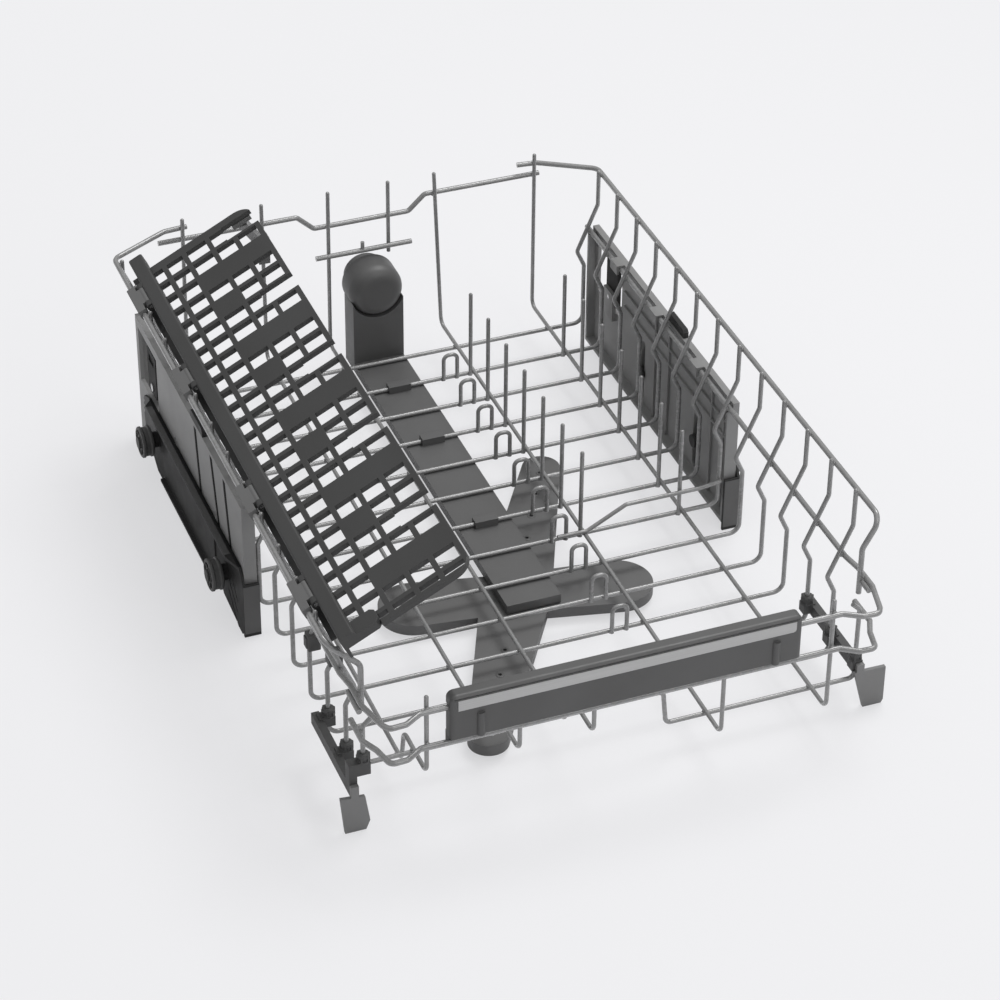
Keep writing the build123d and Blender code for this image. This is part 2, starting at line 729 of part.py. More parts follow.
def lattice_windows():
    """The openings between the shelf's ribs, with solid pads left and stem notches cut at the inner edge."""
    front, rear = LATTICE_Y
    ribs = (BAR_U[1] - RIB / 2, *LATTICE_RIBS_U, LATTICE_U - RIB / 2)
    count = int((rear - front - RIB) / RIB_PITCH)
    notch_width, notch_depth = STEM_NOTCH
    windows = []
    for step in range(count):
        middle = front + RIB + (step + 0.5) * RIB_PITCH - RIB / 2
        place = step % MODULE
        for band, (low, high) in enumerate(zip(ribs, ribs[1:])):
            pad = (place == 1 and band >= 2) or (place == 4 and band == 2)
            if pad:
                continue
            size = (high - low - RIB, RIB_PITCH - RIB)
            windows.append(Pos((low + high) / 2, middle) * Rectangle(*size))
        if place == 3:
            windows.append(Pos(LATTICE_U - notch_depth / 2, middle) * Rectangle(notch_depth, notch_width))
    gap = LATTICE_FRONT - RIB
    for low, high in zip(ribs, ribs[1:]):
        windows.append(Pos((low + high) / 2, front - gap / 2) * Rectangle(high - low - RIB, gap))
    return windows


def shelf_lattice():
    """The ribbed shelf that carries the glasses."""
    rear = LATTICE_Y[1]
    front = LATTICE_Y[0] - LATTICE_FRONT
    foot_width = BAR_FOOT[1]
    middle = Pos((BAR_U[1] + LATTICE_U) / 2, (front + rear) / 2)
    outline = middle * Rectangle(LATTICE_U - BAR_U[1], rear - front)
    inner = outline.vertices().group_by(Axis.X)[-1]
    outline = fillet(inner, LATTICE_CORNER)
    outline -= Sketch(children=lattice_windows())
    plate = Pos(0, 0, BAR_N[0]) * extrude(outline, amount=LATTICE_THICK)
    plate -= block((0, BAR_U[1] + foot_width), (front - 1, BAR_Y[0] + BAR_FOOT[0]), (BAR_N[0], BAR_N[1]))
    return shelf_place() * plate


def rim_on_shelf():
    """The rim wire's middle along u and n of the tilted shelf."""
    tilt = math.radians(SHELF_TILT)
    across = rim_x(LEFT) - HINGE_X
    u = across * math.cos(tilt) - HINGE_Z * math.sin(tilt)
    n = -across * math.sin(tilt) - HINGE_Z * math.cos(tilt)
    return u, n


def shelf_clips():
    """The clips that snap over the rim between two wall wires and carry the shelf's hinge."""
    u, n = rim_on_shelf()
    bore = RIM_WIRE / 2 + CLIP_PLAY
    grip = bore + CLIP_WALL
    half = CROSS_PITCH / 2 - CLIP_SPACE
    clips = []
    for bay in CLIP_BAYS:
        middle = lug_y(bay)
        span = (middle - half, middle + half)
        lug_span = (middle - LUG_LENGTH / 2, middle + LUG_LENGTH / 2)
        clip = block((u - grip, u + grip), span, (n - grip, CLIP_TOP_N))
        clip = fillet(clip.edges().filter_by(Axis.Y).group_by(Axis.X)[0], CLIP_ROUND)
        clip += block((u, 0), lug_span, (-KNUCKLE_R, CLIP_TOP_N))
        clip += rod(0, lug_span, 0, KNUCKLE_R, "Y")
        clip -= rod(0, lug_span, 0, HINGE_PIN_R + HINGE_PLAY, "Y")
        clip -= rod(u, span, n, bore, "Y")
        clip -= block((u - CLIP_MOUTH / 2, u + CLIP_MOUTH / 2), span, (n - grip - 1, n))
        clips.append(clip)
    return shelf_place() * joined(clips)


def bar_between(start, end, width):
    """A square bar between two points."""
    path = Line(start, end)
    return sweep(Plane(origin=start, z_dir=path % 0) * Rectangle(width, width), path)


def shelf_stay():
    """The stay from a rear upright to the shelf's rear corner, which rests on it."""
    x = LONG_WIRES[1][1]
    clamp_x = (x - STAY_CLAMP / 2, x + STAY_CLAMP / 2)
    clamp_y = (REAR_Y - STAY_CLAMP / 2, REAR_Y + STAY_CLAMP / 2)
    low_n = BAR_N[0] - STAY_REST - STAY_PAD
    pad = shelf_place() * block(STAY_PAD_U, STAY_PAD_Y, (low_n, low_n + STAY_PAD))
    pad_middle = shelf_place() * Pos(sum(STAY_PAD_U) / 2, sum(STAY_PAD_Y) / 2, low_n)
    start = (x, clamp_y[0] + 1, STAY_Z[1] - STAY_BAR)
    end = tuple(pad_middle.position)
    stay = block(clamp_x, clamp_y, STAY_Z) + bar_between(start, end, STAY_BAR)
    above = shelf_place() * block((0, LATTICE_U), (BAR_Y[0], 10), (low_n + STAY_PAD, 30))
    stay = stay - above + pad
    return stay - rod(x, REAR_Y, STAY_Z, LONG_WIRE / 2 + SNAP, "Z")


def panel_slot(side, y):
    """The upright slot in which one of the carriage's pegs moves."""
    half = PEG_R + PEG_PLAY
    out = (PANEL_OUT[1] - PANEL_WALL - 1, PANEL_OUT[1] + 1)
    low = PEG_Z - TRAVEL_DOWN
    high = PEG_Z + TRAVEL_UP
    slot = side_block(side, out, (y - half, y + half), (low, high))
    return slot + side_rod(side, out, y, low, half) + side_rod(side, out, y, high, half)


def adjuster_panel(side):
    """The fixed panel: a tray open to the basket that hangs on the ring wire by hooks."""
    inner, outer = PANEL_OUT
    front, rear = PANEL_Y
    low, top = PANEL_Z
    ring_top = RING_Z + RIM_WIRE / 2 + RING_PLAY
    panel = side_block(side, PANEL_OUT, PANEL_Y, PANEL_Z)
    pocket_y = (front + PANEL_WALL, rear - PANEL_WALL)
    pocket_z = (low + PANEL_WALL, top - RAIL_THICK)
    panel -= side_block(side, (inner - 1, outer - PANEL_WALL), pocket_y, pocket_z)
    wire_z = (RING_Z - RAIL_INNER - RING_PLAY, top + 1)
    panel -= side_block(side, (inner - 1, RAIL_INNER), (front - 1, rear + 1), wire_z)
    for bay in HOOK_BAYS:
        y = (lug_y(bay) - HOOK_LENGTH / 2, lug_y(bay) + HOOK_LENGTH / 2)
        lip = -(RIM_WIRE / 2 + RING_PLAY)
        hook_top = ring_top + HOOK_THICK
        panel += side_block(side, (lip - HOOK_THICK, RAIL_INNER + 1), y, (ring_top, hook_top))
        panel += side_block(side, (lip - HOOK_THICK, lip), y, (hook_top - HOOK_DROP, hook_top))
    for start, end in GROOVES:
        (y0, z0), (y1, z1) = start, end
        half = GROOVE_WIDTH / 2
        outline = [(y0 - half, z0), (y0 + half, z0), (y1 + half, z1), (y1 - half, z1)]
        panel -= side_plate(side, (outer - GROOVE_DEPTH, outer + 1), outline)
    panel -= side_block(side, (inner, outer + 1), WINDOW_Y, WINDOW_Z)
    pivot_y, pivot_z = LEVER_PIVOT
    boss_y = (pivot_y - LEVER_BOSS_HALF, pivot_y + LEVER_BOSS_HALF)
    boss_out = (LEVER_BOSS, LEVER_OUT[0] - 2 * SNAP)
    foot_z = WINDOW_Z[0] - LEVER_BOSS_FOOT
    panel += side_block(side, boss_out, boss_y, (foot_z, pivot_z + LEVER_BOSS_ABOVE))
    panel += side_block(side, (LEVER_BOSS, outer - PANEL_WALL), boss_y, (foot_z, WINDOW_Z[0]))
    panel -= side_rod(side, (LEVER_BOSS, LEVER_OUT[0]), pivot_y, pivot_z, LEVER_PIN_R)
    for y in PEG_Y:
        panel -= panel_slot(side, y)
    return panel


def panel_catch(side):
    """The small catch on top of the panel's rail."""
    top = PANEL_Z[1]
    catch = side_block(side, (CATCH_OUT, PANEL_OUT[1]), CATCH_Y, (top, top + CATCH_HEIGHT))
    return chamfer(catch.edges().filter_by(Axis.X).group_by(Axis.Z)[-1], CATCH_HEIGHT / 3)


def release_lever(side):
    """The lever in the panel's window."""
    top = LEVER_Z[1]
    lever = side_block(side, LEVER_OUT, LEVER_Y, LEVER_Z)
    lever = fillet(lever.edges().filter_by(Axis.X), LEVER_ROUND)
    grip_z = [top - below for below in LEVER_GRIP_BELOW]
    grip_y = (LEVER_Y[0] + LEVER_GRIP_SIDE, LEVER_Y[1] - LEVER_GRIP_SIDE)
    lever -= side_block(side, (LEVER_OUT[1] - LEVER_GRIP_DEPTH, LEVER_OUT[1]), grip_y, grip_z)
    return lever - side_rod(side, LEVER_OUT, *LEVER_PIVOT, LEVER_PIN_R + LEVER_PLAY)


def lever_pin(side):
    """The headed pin on which the lever turns."""
    outer = LEVER_OUT[1] + SNAP
    shank = side_rod(side, (LEVER_BOSS, outer), *LEVER_PIVOT, LEVER_PIN_R)
    return shank + side_rod(side, (outer, outer + LEVER_PIN_HEAD), *LEVER_PIVOT, LEVER_PIN_HEAD_R)


def carriage_front_y():
    """Y of the carriage's front face."""
    return PANEL_Y[0] - CARRIAGE_END_PLAY - CARRIAGE_END_WALL


def carriage_outline():
    """The carriage plate's outline in Y and Z: rear teeth, a rear foot, a roller recess and a front skirt."""
    front = carriage_front_y()
    recess_front = ROLLER_Y["front"] + ROLLER_R
    teeth = []
    for tooth in range(TEETH):
        z = CARRIAGE_TOP_Z - TEETH_BELOW - tooth * TOOTH
        teeth += [(CARRIAGE_REAR_Y, z), (CARRIAGE_REAR_Y + TOOTH_DEPTH, z - TOOTH)]
    foot_rear, foot_front = REAR_FOOT_Y
    step_low, step_high = LOW_STEP_Y
    recess_high, recess_low = RECESS_SIDE
    return [
        (FLANGE_REAR_Y, CARRIAGE_TOP_Z),
        *teeth,
        (CARRIAGE_REAR_Y, CARRIAGE_LOW_Z + REAR_CORNER),
        (foot_rear + FOOT_SLOPE[0], CARRIAGE_LOW_Z),
        (foot_rear, BASE_Z),
        (foot_front, BASE_Z),
        (foot_front - FOOT_SLOPE[1], CARRIAGE_LOW_Z),
        (FACE_Y[0] + step_low, CARRIAGE_LOW_Z),
        (FACE_Y[0] + step_high, CARRIAGE_LOW_Z + LOW_STEP),
        (recess_front + recess_high, CARRIAGE_LOW_Z + LOW_STEP),
        (recess_front + recess_low, CARRIAGE_LOW_Z),
        (SKIRT_Y[0], BASE_Z + SKIRT_CORNER[1]),
        (SKIRT_Y[0] - SKIRT_CORNER[0], BASE_Z),
        (SKIRT_Y[1], BASE_Z),
        (front, BASE_Z + SKIRT_RISE),
        (front, CARRIAGE_FRONT_Z),
        (FLANGE_FRONT_Y, CARRIAGE_TOP_Z),
    ]


def flange(side):
    """The ledge along the carriage's top, which tapers off at the front."""
    inner = out_x(side, CARRIAGE_OUT[0])
    outer = out_x(side, FLANGE_OUT)
    points = [
        (inner, FLANGE_REAR_Y),
        (outer, FLANGE_REAR_Y - FLANGE_TAPER[0]),
        (outer, FLANGE_FRONT_Y + FLANGE_TAPER[1]),
        (out_x(side, CARRIAGE_OUT[1]), FLANGE_FRONT_Y),
        (inner, FLANGE_FRONT_Y),
    ]
    ledge = Pos(0, 0, CARRIAGE_TOP_Z - FLANGE_THICK) * make_face(Polyline(*points, close=True))
    return extrude(ledge, amount=FLANGE_THICK, dir=(0, 0, 1))


def carriage(side):
    """The carriage that slides up and down on the panel and carries two rollers."""
    inner, outer = CARRIAGE_OUT
    front = carriage_front_y()
    body = side_plate(side, CARRIAGE_OUT, carriage_outline()) + flange(side)
    end_z = (BASE_Z + 0.5, CARRIAGE_FRONT_Z)
    body += side_block(side, (CARRIAGE_END_OUT, outer), (front, front + CARRIAGE_END_WALL), end_z)
    body += side_block(side, (outer, FACE_OUT), FACE_Y, FACE_Z)
    body += side_block(side, (outer, LIP_OUT), FACE_Y, (FACE_Z[0] - LIP_THICK, FACE_Z[0]))
    for step in range(VENT_COUNT):
        y = VENT_START[0] + step * VENT_STEP[0]
        z = VENT_START[1] + step * VENT_STEP[1]
        outline = [(y, z), (y + VENT_RUN[0], z + VENT_RUN[1])]
        outline += [(y + VENT_RUN[0], z + VENT_RUN[1] - VENT_WIDTH), (y, z - VENT_WIDTH)]
        body -= side_plate(side, (inner - 1, outer + 1), outline)
    head_end = PANEL_OUT[1] - PANEL_WALL - PEG_HEAD_PLAY
    for y in PEG_Y:
        body += side_rod(side, (head_end, inner), y, PEG_Z, PEG_R)
        body += side_rod(side, (head_end - PEG_HEAD, head_end), y, PEG_Z, PEG_HEAD_R)
    for y in ROLLER_Y.values():
        body += side_rod(side, (outer, outer + HUB), y, ROLLER_Z, HUB_R)
        body -= side_rod(side, (inner, outer + HUB), y, ROLLER_Z, AXLE_R)
    return body


def roller_out():
    """How far outside the ring wire a roller's two faces are."""
    start = CARRIAGE_OUT[1] + HUB + ROLLER_END_PLAY
    return start, start + ROLLER_WIDTH


def roller(side, place):
    """A roller on its axle."""
    y = ROLLER_Y[place]
    wheel = side_rod(side, roller_out(), y, ROLLER_Z, ROLLER_R)
    wheel = chamfer(wheel.edges().filter_by(GeomType.CIRCLE), ROLLER_RIM)
    return wheel - side_rod(side, roller_out(), y, ROLLER_Z, AXLE_R + ROLLER_PLAY)


def roller_axles(side):
    """The two headed axles in a carriage."""
    head = roller_out()[1] + ROLLER_END_PLAY
    axles = []
    for y in ROLLER_Y.values():
        shank = side_rod(side, (CARRIAGE_OUT[0], head), y, ROLLER_Z, AXLE_R)
        axles.append(shank + side_rod(side, (head, head + AXLE_HEAD), y, ROLLER_Z, AXLE_HEAD_R))
    return joined(axles)


def guide_arm(side):
    """The arm beside the floor's front corner, clipped to two wall wires and to the foremost cross wire."""
    x = ARM_X[side]
    arm_rear = cross_y(ARM_CLIP_ROWS[0]) + ARM_REAR_REACH
    outer_x = x + side * ARM_THICK / 2
    arm = block((x - ARM_THICK / 2, x + ARM_THICK / 2), (PLATE_Y[1], arm_rear), ARM_Z)
    reach = CROSS_WIRE / 2 + ARM_CLIP_WALL
    for row in ARM_CLIP_ROWS:
        y = cross_y(row)
        arm += block((LOW_X[side] - side * reach, x), (y - ARM_CLIP / 2, y + ARM_CLIP / 2), ARM_CLIP_Z)
        arm -= rod(LOW_X[side], y, ARM_CLIP_Z, CROSS_WIRE / 2 + SNAP, "Z")
    front_y = (FRONT_WALL_Y - ARM_CLIP / 2, FRONT_WALL_Y + ARM_CLIP / 2)
    front_z = ARM_CLIP_Z
    if side == LEFT:
        front_z = ARM_FOOT_Z
        arm += block((x - ARM_THICK / 2, x + ARM_THICK / 2), front_y, (ARM_Z[0], ARM_FOOT_Z[1]))
    arm += block((side * FRONT_WALL_X - side * reach, outer_x), front_y, front_z)
    return arm - front_cross_wire(play=SNAP)


def guide_plate(side):
    """The end plate that hangs from a guide arm's front end."""
    x = ARM_X[side]
    outline = make_face(Polyline(*PLATE_OUTLINE[side], close=True))
    face = Plane(origin=(0, PLATE_Y[1], 0), x_dir=(1, 0, 0), z_dir=(0, -1, 0)) * outline
    plate = extrude(face, amount=PLATE_Y[1] - PLATE_Y[0])
    return plate + block((x - ARM_THICK / 2, x + ARM_THICK / 2), PLATE_Y, (PLATE_TAB_Z, ARM_Z[1]))


def feed_nose():
    """The inlet that meets the tub's rear wall, with a rounded front."""
    nose = rod(FEED_X, NOSE_Y, NOSE_Z, NOSE_R, "Y")
    front_edge = nose.edges().filter_by(GeomType.CIRCLE).group_by(Axis.Y)[0]
    nose = fillet(front_edge, NOSE_ROUND)
    nose += rod(FEED_X, (NOSE_Y[1], INLET_END_Y), NOSE_Z, INLET_R, "Y")
    return nose - rod(FEED_X, (INLET_END_Y - INLET_DEPTH, INLET_END_Y), NOSE_Z, INLET_BORE_R, "Y")


def feed_duct():
    """The flat duct down the rear and forward under the floor to the spray arm's spigot."""
    x = (FEED_X - DUCT_WIDTH / 2, FEED_X + DUCT_WIDTH / 2)
    low, top = DUCT_Z
    end_y = SPRAY_Y - DUCT_END
    down = block(x, DUCT_Y, (low, NOSE_Z))
    down -= rod(FEED_X, NOSE_Y, NOSE_Z, NOSE_R, "Y")
    along = block(x, (DUCT_Y[1], end_y), DUCT_Z)
    duct = down + along
    duct += rod(SPRAY_X, SPRAY_Y, (NUT_Z[0], low), SPIGOT_R, "Z")
    inside = (x[0] + DUCT_WALL, x[1] - DUCT_WALL)
    duct -= block(inside, (DUCT_Y[1] - DUCT_WALL, end_y + DUCT_WALL), (low + DUCT_WALL, top - DUCT_WALL))
    rise_y = (DUCT_Y[0] + DUCT_WALL, DUCT_Y[1] - DUCT_WALL)
    duct -= block(inside, rise_y, (low + DUCT_WALL, NOSE_Z - NOSE_R - DUCT_WALL))
    return duct - rod(SPRAY_X, SPRAY_Y, (NUT_Z[0] - 1, low + 2 * DUCT_WALL), SPIGOT_BORE_R, "Z")


def duct_clips():
    """The clips that hold the duct to the floor wires."""
    width, length = DUCT_CLIP
    x = (FEED_X - width / 2, FEED_X + width / 2)
    z = (DUCT_Z[1], FLOOR_Z + CROSS_WIRE / 2 + DUCT_CLIP_TOP)
    clips = []
    for row in DUCT_CLIP_ROWS:
        y = cross_y(row)
        clip = block(x, (y - length / 2, y + length / 2), z)
        clips.append(clip - rod((FEED_X - width, FEED_X + width), y, FLOOR_Z, CROSS_WIRE / 2 + SNAP, "X"))
    return joined(clips)


def blade(angle, length, widths):
    """One blade of the spray arm, seen from above, with a round tip."""
    root, tip = widths
    reach = length - tip / 2
    corners = ((0, -root / 2), (reach, -tip / 2), (reach, tip / 2), (0, root / 2))
    outline = make_face(Polyline(*corners, close=True))
    return Rot(0, 0, angle) * (outline + Pos(reach, 0) * Circle(tip / 2))


def spray_arm():
    """The turning arm: two long blades, two short ones, a hub, and jets along the long blades."""
    low, top = SPRAY_Z
    outline = Circle(SPRAY_HUB_R)
    for turn in (0, 180):
        outline += blade(LONG_BLADE_ANGLE + turn, LONG_BLADE, LONG_BLADE_WIDTH)
        outline += blade(WIDE_BLADE_ANGLE + turn, WIDE_BLADE, WIDE_BLADE_WIDTH)
    arm = extrude(outline, amount=top - low)
    arm = Pos(SPRAY_X, SPRAY_Y, low) * arm
    arm -= rod(SPRAY_X, SPRAY_Y, SPRAY_Z, SPIGOT_R + SPRAY_PLAY, "Z")
    for turn in (0, 180):
        angle = math.radians(LONG_BLADE_ANGLE + turn)
        for radius in JET_RADII:
            x = SPRAY_X + radius * math.cos(angle)
            y = SPRAY_Y + radius * math.sin(angle)
            arm -= rod(x, y, (top - SPRAY_WALL, top), JET_R, "Z")
    return arm


def bearing_nut():
    """The nut that holds the spray arm on its spigot."""
    nut = rod(SPRAY_X, SPRAY_Y, NUT_Z, NUT_R, "Z")
    for grip in range(NUT_GRIPS):
        angle = 2 * math.pi * grip / NUT_GRIPS
        x = SPRAY_X + NUT_R * math.cos(angle)
        y = SPRAY_Y + NUT_R * math.sin(angle)
        nut -= rod(x, y, NUT_Z, NUT_GRIP_R, "Z")
    return nut - rod(SPRAY_X, SPRAY_Y, NUT_Z, SPIGOT_R, "Z")


def model():
    """Every piece by name, in the place where it is made."""
    nodes = {
        "ring_wire": ring_wire(),
        "front_wire": front_wire(),
        "front_cross_wire": front_cross_wire(),
        "floor_cross_wires": floor_cross_wires(),
        "floor_long_wires": floor_long_wires(),
        "rear_wire": rear_wire(),
        "rear_cross_wire": rear_cross_wire(),
        "short_upright": short_upright(),
        "short_arches": short_arches(),
        "raised_cross_wire": raised_cross_wire(),
        "handle_shell": handle_shell(),
        "handle_inlay": handle_inlay(),
        "shelf_bar": shelf_bar(),
        "shelf_hinge_pins": shelf_hinge_pins(),
        "shelf_lattice": shelf_lattice(),
        "shelf_clips": shelf_clips(),
        "shelf_stay": shelf_stay(),
        "feed_nose": feed_nose(),
        "feed_duct": feed_duct(),
        "duct_clips": duct_clips(),
        "spray_arm": spray_arm(),
        "bearing_nut": bearing_nut(),
    }
    for name, side in SIDES.items():
        nodes["rim_wire_" + name] = rim_wire(side)
        nodes["wall_wires_" + name] = wall_wires(side)
        nodes["side_wire_" + name] = side_wire(side)
        nodes["plate_tines_" + name] = plate_tines(side)
        nodes["adjuster_panel_" + name] = adjuster_panel(side)
        nodes["panel_catch_" + name] = panel_catch(side)
        nodes["release_lever_" + name] = release_lever(side)
        nodes["lever_pin_" + name] = lever_pin(side)
        nodes["carriage_" + name] = carriage(side)
        nodes["roller_axles_" + name] = roller_axles(side)
        nodes["guide_arm_" + name] = guide_arm(side)
        nodes["guide_plate_" + name] = guide_plate(side)
        for place in ROLLER_Y:
            nodes[f"roller_{place}_{name}"] = roller(side, place)
    return nodes


def export():
    """Writes each piece with the rack standing on Z = 0, centred in X and Y."""
    nodes = model()
    boxes = [shape.bounding_box() for shape in nodes.values()]
    low = [min(tuple(box.min)[axis] for box in boxes) for axis in range(3)]
    high = [max(tuple(box.max)[axis] for box in boxes) for axis in range(3)]
    shift = Pos(-(low[0] + high[0]) / 2, -(low[1] + high[1]) / 2, -low[2])
    print("shift", [round(value, 4) for value in tuple(shift.position)])
    print("size", [round(high[axis] - low[axis], 3) for axis in range(3)])
    os.makedirs("parts", exist_ok=True)
    for name, shape in nodes.items():
        export_step(shift * shape, f"parts/{name}.step")


export()
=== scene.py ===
"""Looks of the dishwasher's upper rack: materials, small pieces, floor, light and camera."""

import math

import bmesh
import bpy
from mathutils import Matrix, Vector


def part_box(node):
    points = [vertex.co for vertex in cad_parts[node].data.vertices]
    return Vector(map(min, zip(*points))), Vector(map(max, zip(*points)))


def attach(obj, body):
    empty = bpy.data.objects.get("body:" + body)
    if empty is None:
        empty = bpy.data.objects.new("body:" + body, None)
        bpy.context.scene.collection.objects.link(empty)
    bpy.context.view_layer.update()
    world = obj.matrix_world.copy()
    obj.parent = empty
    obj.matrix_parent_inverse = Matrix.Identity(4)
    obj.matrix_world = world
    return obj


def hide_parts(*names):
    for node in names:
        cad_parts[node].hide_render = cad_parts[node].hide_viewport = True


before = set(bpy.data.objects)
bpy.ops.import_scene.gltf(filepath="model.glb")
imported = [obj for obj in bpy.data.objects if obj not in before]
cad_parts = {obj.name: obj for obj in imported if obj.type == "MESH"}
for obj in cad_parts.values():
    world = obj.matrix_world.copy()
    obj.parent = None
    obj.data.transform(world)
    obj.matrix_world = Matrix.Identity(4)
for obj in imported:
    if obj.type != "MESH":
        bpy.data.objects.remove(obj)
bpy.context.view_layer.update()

MM = 0.001
SIDES = {"left": -1, "right": 1}

# Places are in mm from the rearmost cross wire and the rim's middle; SHIFT leads to the shared frame
SHIFT = Vector((2.0638, 216.823, 139.0))
CROSS_COUNT = 13
CROSS_PITCH = 34.0

# Camera: place in metres, angles in degrees
LENS = 118.28
SENSOR = 36.0
CAMERA_PLACE = (-0.61925, -1.61868, 1.29140)
AZIMUTH = 21.3005
ELEVATION = 35.658
ROLL = 0.5358
CLIP_END = 100


def place(x, y, z):
    """A place given in mm, as metres in the shared frame."""
    return (Vector((x, y, z)) + SHIFT) * MM


def grey(level):
    """Linear value of a display grey from 0 to 255."""
    part = level / 255
    return part / 12.92 if part <= 0.04045 else ((part + 0.055) / 1.055) ** 2.4


def tint(level, warm=0.0):
    """A nearly grey linear colour, a little warmer or cooler."""
    value = grey(level)
    return (value * (1 + warm), value, value * (1 - warm), 1)


# Materials


# The part of a noise's range that is used
NOISE_LOW = 0.3
NOISE_HIGH = 0.7

# How well the rounded direction agrees with the true one at a sharp edge and on a flat face
SHARP = 0.72
FLAT = 0.98
BEVEL_SAMPLES = 6


class Nodes:
    """Short names for the nodes of one material."""

    def __init__(self, name):
        self.material = bpy.data.materials.new(name)
        self.material.use_nodes = True
        self.tree = self.material.node_tree
        self.shader = self.tree.nodes["Principled BSDF"]
        self.where = self.tree.nodes.new("ShaderNodeTexCoord").outputs["Object"]

    def link(self, source, target):
        self.tree.links.new(source, target)

    def set(self, name, value):
        """Sets one of the main shader's values."""
        self.shader.inputs[name].default_value = value

    def noise(self, scale, detail=3.0, stretch=None):
        """Soft random clouds over the object's own place."""
        node = self.tree.nodes.new("ShaderNodeTexNoise")
        node.inputs["Scale"].default_value = scale
        node.inputs["Detail"].default_value = detail
        source = self.where
        if stretch:
            mapping = self.tree.nodes.new("ShaderNodeMapping")
            mapping.inputs["Scale"].default_value = stretch
            self.link(self.where, mapping.inputs["Vector"])
            source = mapping.outputs["Vector"]
        self.link(source, node.inputs["Vector"])
        return node.outputs["Fac"]

    def span(self, value, low, high, start=NOISE_LOW, end=NOISE_HIGH):
        """Maps start to low and end to high."""
        node = self.tree.nodes.new("ShaderNodeMapRange")
        self.link(value, node.inputs["Value"])
        for name, number in (("From Min", start), ("From Max", end), ("To Min", low), ("To Max", high)):
            node.inputs[name].default_value = number
        return node.outputs["Result"]

    def mix(self, share, one, other):
        """Blends two colours, each given or linked."""
        node = self.tree.nodes.new("ShaderNodeMix")
        node.data_type = "RGBA"
        self.link(share, node.inputs["Factor"])
        for name, colour in (("A", one), ("B", other)):
            socket = [s for s in node.inputs if s.name == name and s.type == "RGBA"][0]
            if isinstance(colour, tuple):
                socket.default_value = colour
            else:
                self.link(colour, socket)
        return [s for s in node.outputs if s.type == "RGBA"][0]

    def maths(self, kind, one, other):
        """Joins two values, each given or linked."""
        node = self.tree.nodes.new("ShaderNodeMath")
        node.operation = kind
        for socket, value in zip(node.inputs, (one, other)):
            if isinstance(value, (int, float)):
                socket.default_value = value
            else:
                self.link(value, socket)
        return node.outputs[0]

    def rounded(self, radius):
        """The surface's direction with its sharp edges rounded."""
        node = self.tree.nodes.new("ShaderNodeBevel")
        node.samples = BEVEL_SAMPLES
        node.inputs["Radius"].default_value = radius
        return node.outputs["Normal"]

    def edges(self, radius):
        """How close a point is to a sharp edge, from 0 to 1."""
        plain = self.tree.nodes.new("ShaderNodeNewGeometry").outputs["Normal"]
        dot = self.tree.nodes.new("ShaderNodeVectorMath")
        dot.operation = "DOT_PRODUCT"
        self.link(self.rounded(radius), dot.inputs[0])
        self.link(plain, dot.inputs[1])
        return self.span(dot.outputs["Value"], low=1.0, high=0.0, start=SHARP, end=FLAT)

    def bump(self, height, distance, strength=1.0, normal=None):
        """A relief of the given height over the surface or over another relief."""
        node = self.tree.nodes.new("ShaderNodeBump")
        node.inputs["Distance"].default_value = distance
        node.inputs["Strength"].default_value = strength
        self.link(height, node.inputs["Height"])
        if normal is not None:
            self.link(normal, node.inputs["Normal"])
        return node.outputs["Normal"]

    def finish(self, colour, roughness, normal):
        """Links colour, roughness and relief to the main shader."""
        self.link(colour, self.shader.inputs["Base Color"])
        self.link(roughness, self.shader.inputs["Roughness"])
        self.link(normal, self.shader.inputs["Normal"])
        return self.material


def coated_wire(name, level):
    """Steel wire in a nylon coat: satin, slightly uneven, with soft waves and a fine skin."""
    n = Nodes(name)
    cloud = n.noise(scale=70, detail=4)
    fleck = n.noise(scale=1500, detail=2)
    base = n.mix(n.span(cloud, low=0, high=1), tint(level - 9, warm=0.004), tint(level + 8, warm=-0.004))
    colour = n.mix(n.span(fleck, low=0, high=0.35, start=0.55, end=0.75), base, tint(level + 26))
    roughness = n.span(n.noise(scale=240), low=0.2, high=0.32)
    skin = n.bump(n.noise(scale=420, detail=4), distance=0.00010, strength=0.55)
    n.set("Specular IOR Level", 0.8)
    n.set("Coat Weight", 0.85)
    n.set("Coat Roughness", 0.08)
    return n.finish(colour, roughness, n.bump(fleck, distance=0.00003, strength=0.4, normal=skin))


# How far the painted edge highlight and the worn polish reach from an edge, in its roundings, and how much
# smoother it is there
EDGE_REACH = 1.6
WORN_POLISH = 0.1


def moulded(name, level, rough=0.5, grain=1.0, edge_highlight=10, round_edge=0.0005, gloss=0.5):
    """Injection-moulded plastic: fine grain, faint flow clouds, edges a little rounded and polished, and
    painted lighter as a highlight.
    """
    n = Nodes(name)
    n.set("Specular IOR Level", gloss)
    cloud = n.noise(scale=26, detail=5, stretch=(1.0, 0.35, 1.0))
    speckle = n.noise(scale=2600, detail=2)
    base = n.mix(n.span(cloud, low=0, high=1), tint(level - 3, warm=0.006), tint(level + 4, warm=-0.004))
    speckled = n.mix(n.span(speckle, low=0, high=0.25, start=0.5, end=0.75), base, tint(level + 14))
    edge = n.edges(radius=round_edge * EDGE_REACH)
    # Painted highlight: sharp edges painted lighter, in patches
    highlit_edge = n.maths("MULTIPLY", edge, n.span(n.noise(scale=190, detail=4), low=0.25, high=1.0))
    colour = n.mix(highlit_edge, speckled, tint(level + edge_highlight))
    plain = n.span(n.noise(scale=55, detail=4), low=rough - 0.05, high=rough + 0.07)
    roughness = n.maths("SUBTRACT", plain, n.maths("MULTIPLY", edge, WORN_POLISH))
    soft = n.rounded(round_edge)
    grained = n.bump(n.noise(scale=1900), distance=0.00004 * grain, strength=0.6, normal=soft)
    wavy = n.bump(n.noise(scale=9, detail=2), distance=0.0006, strength=0.12, normal=grained)
    return n.finish(colour, roughness, wavy)


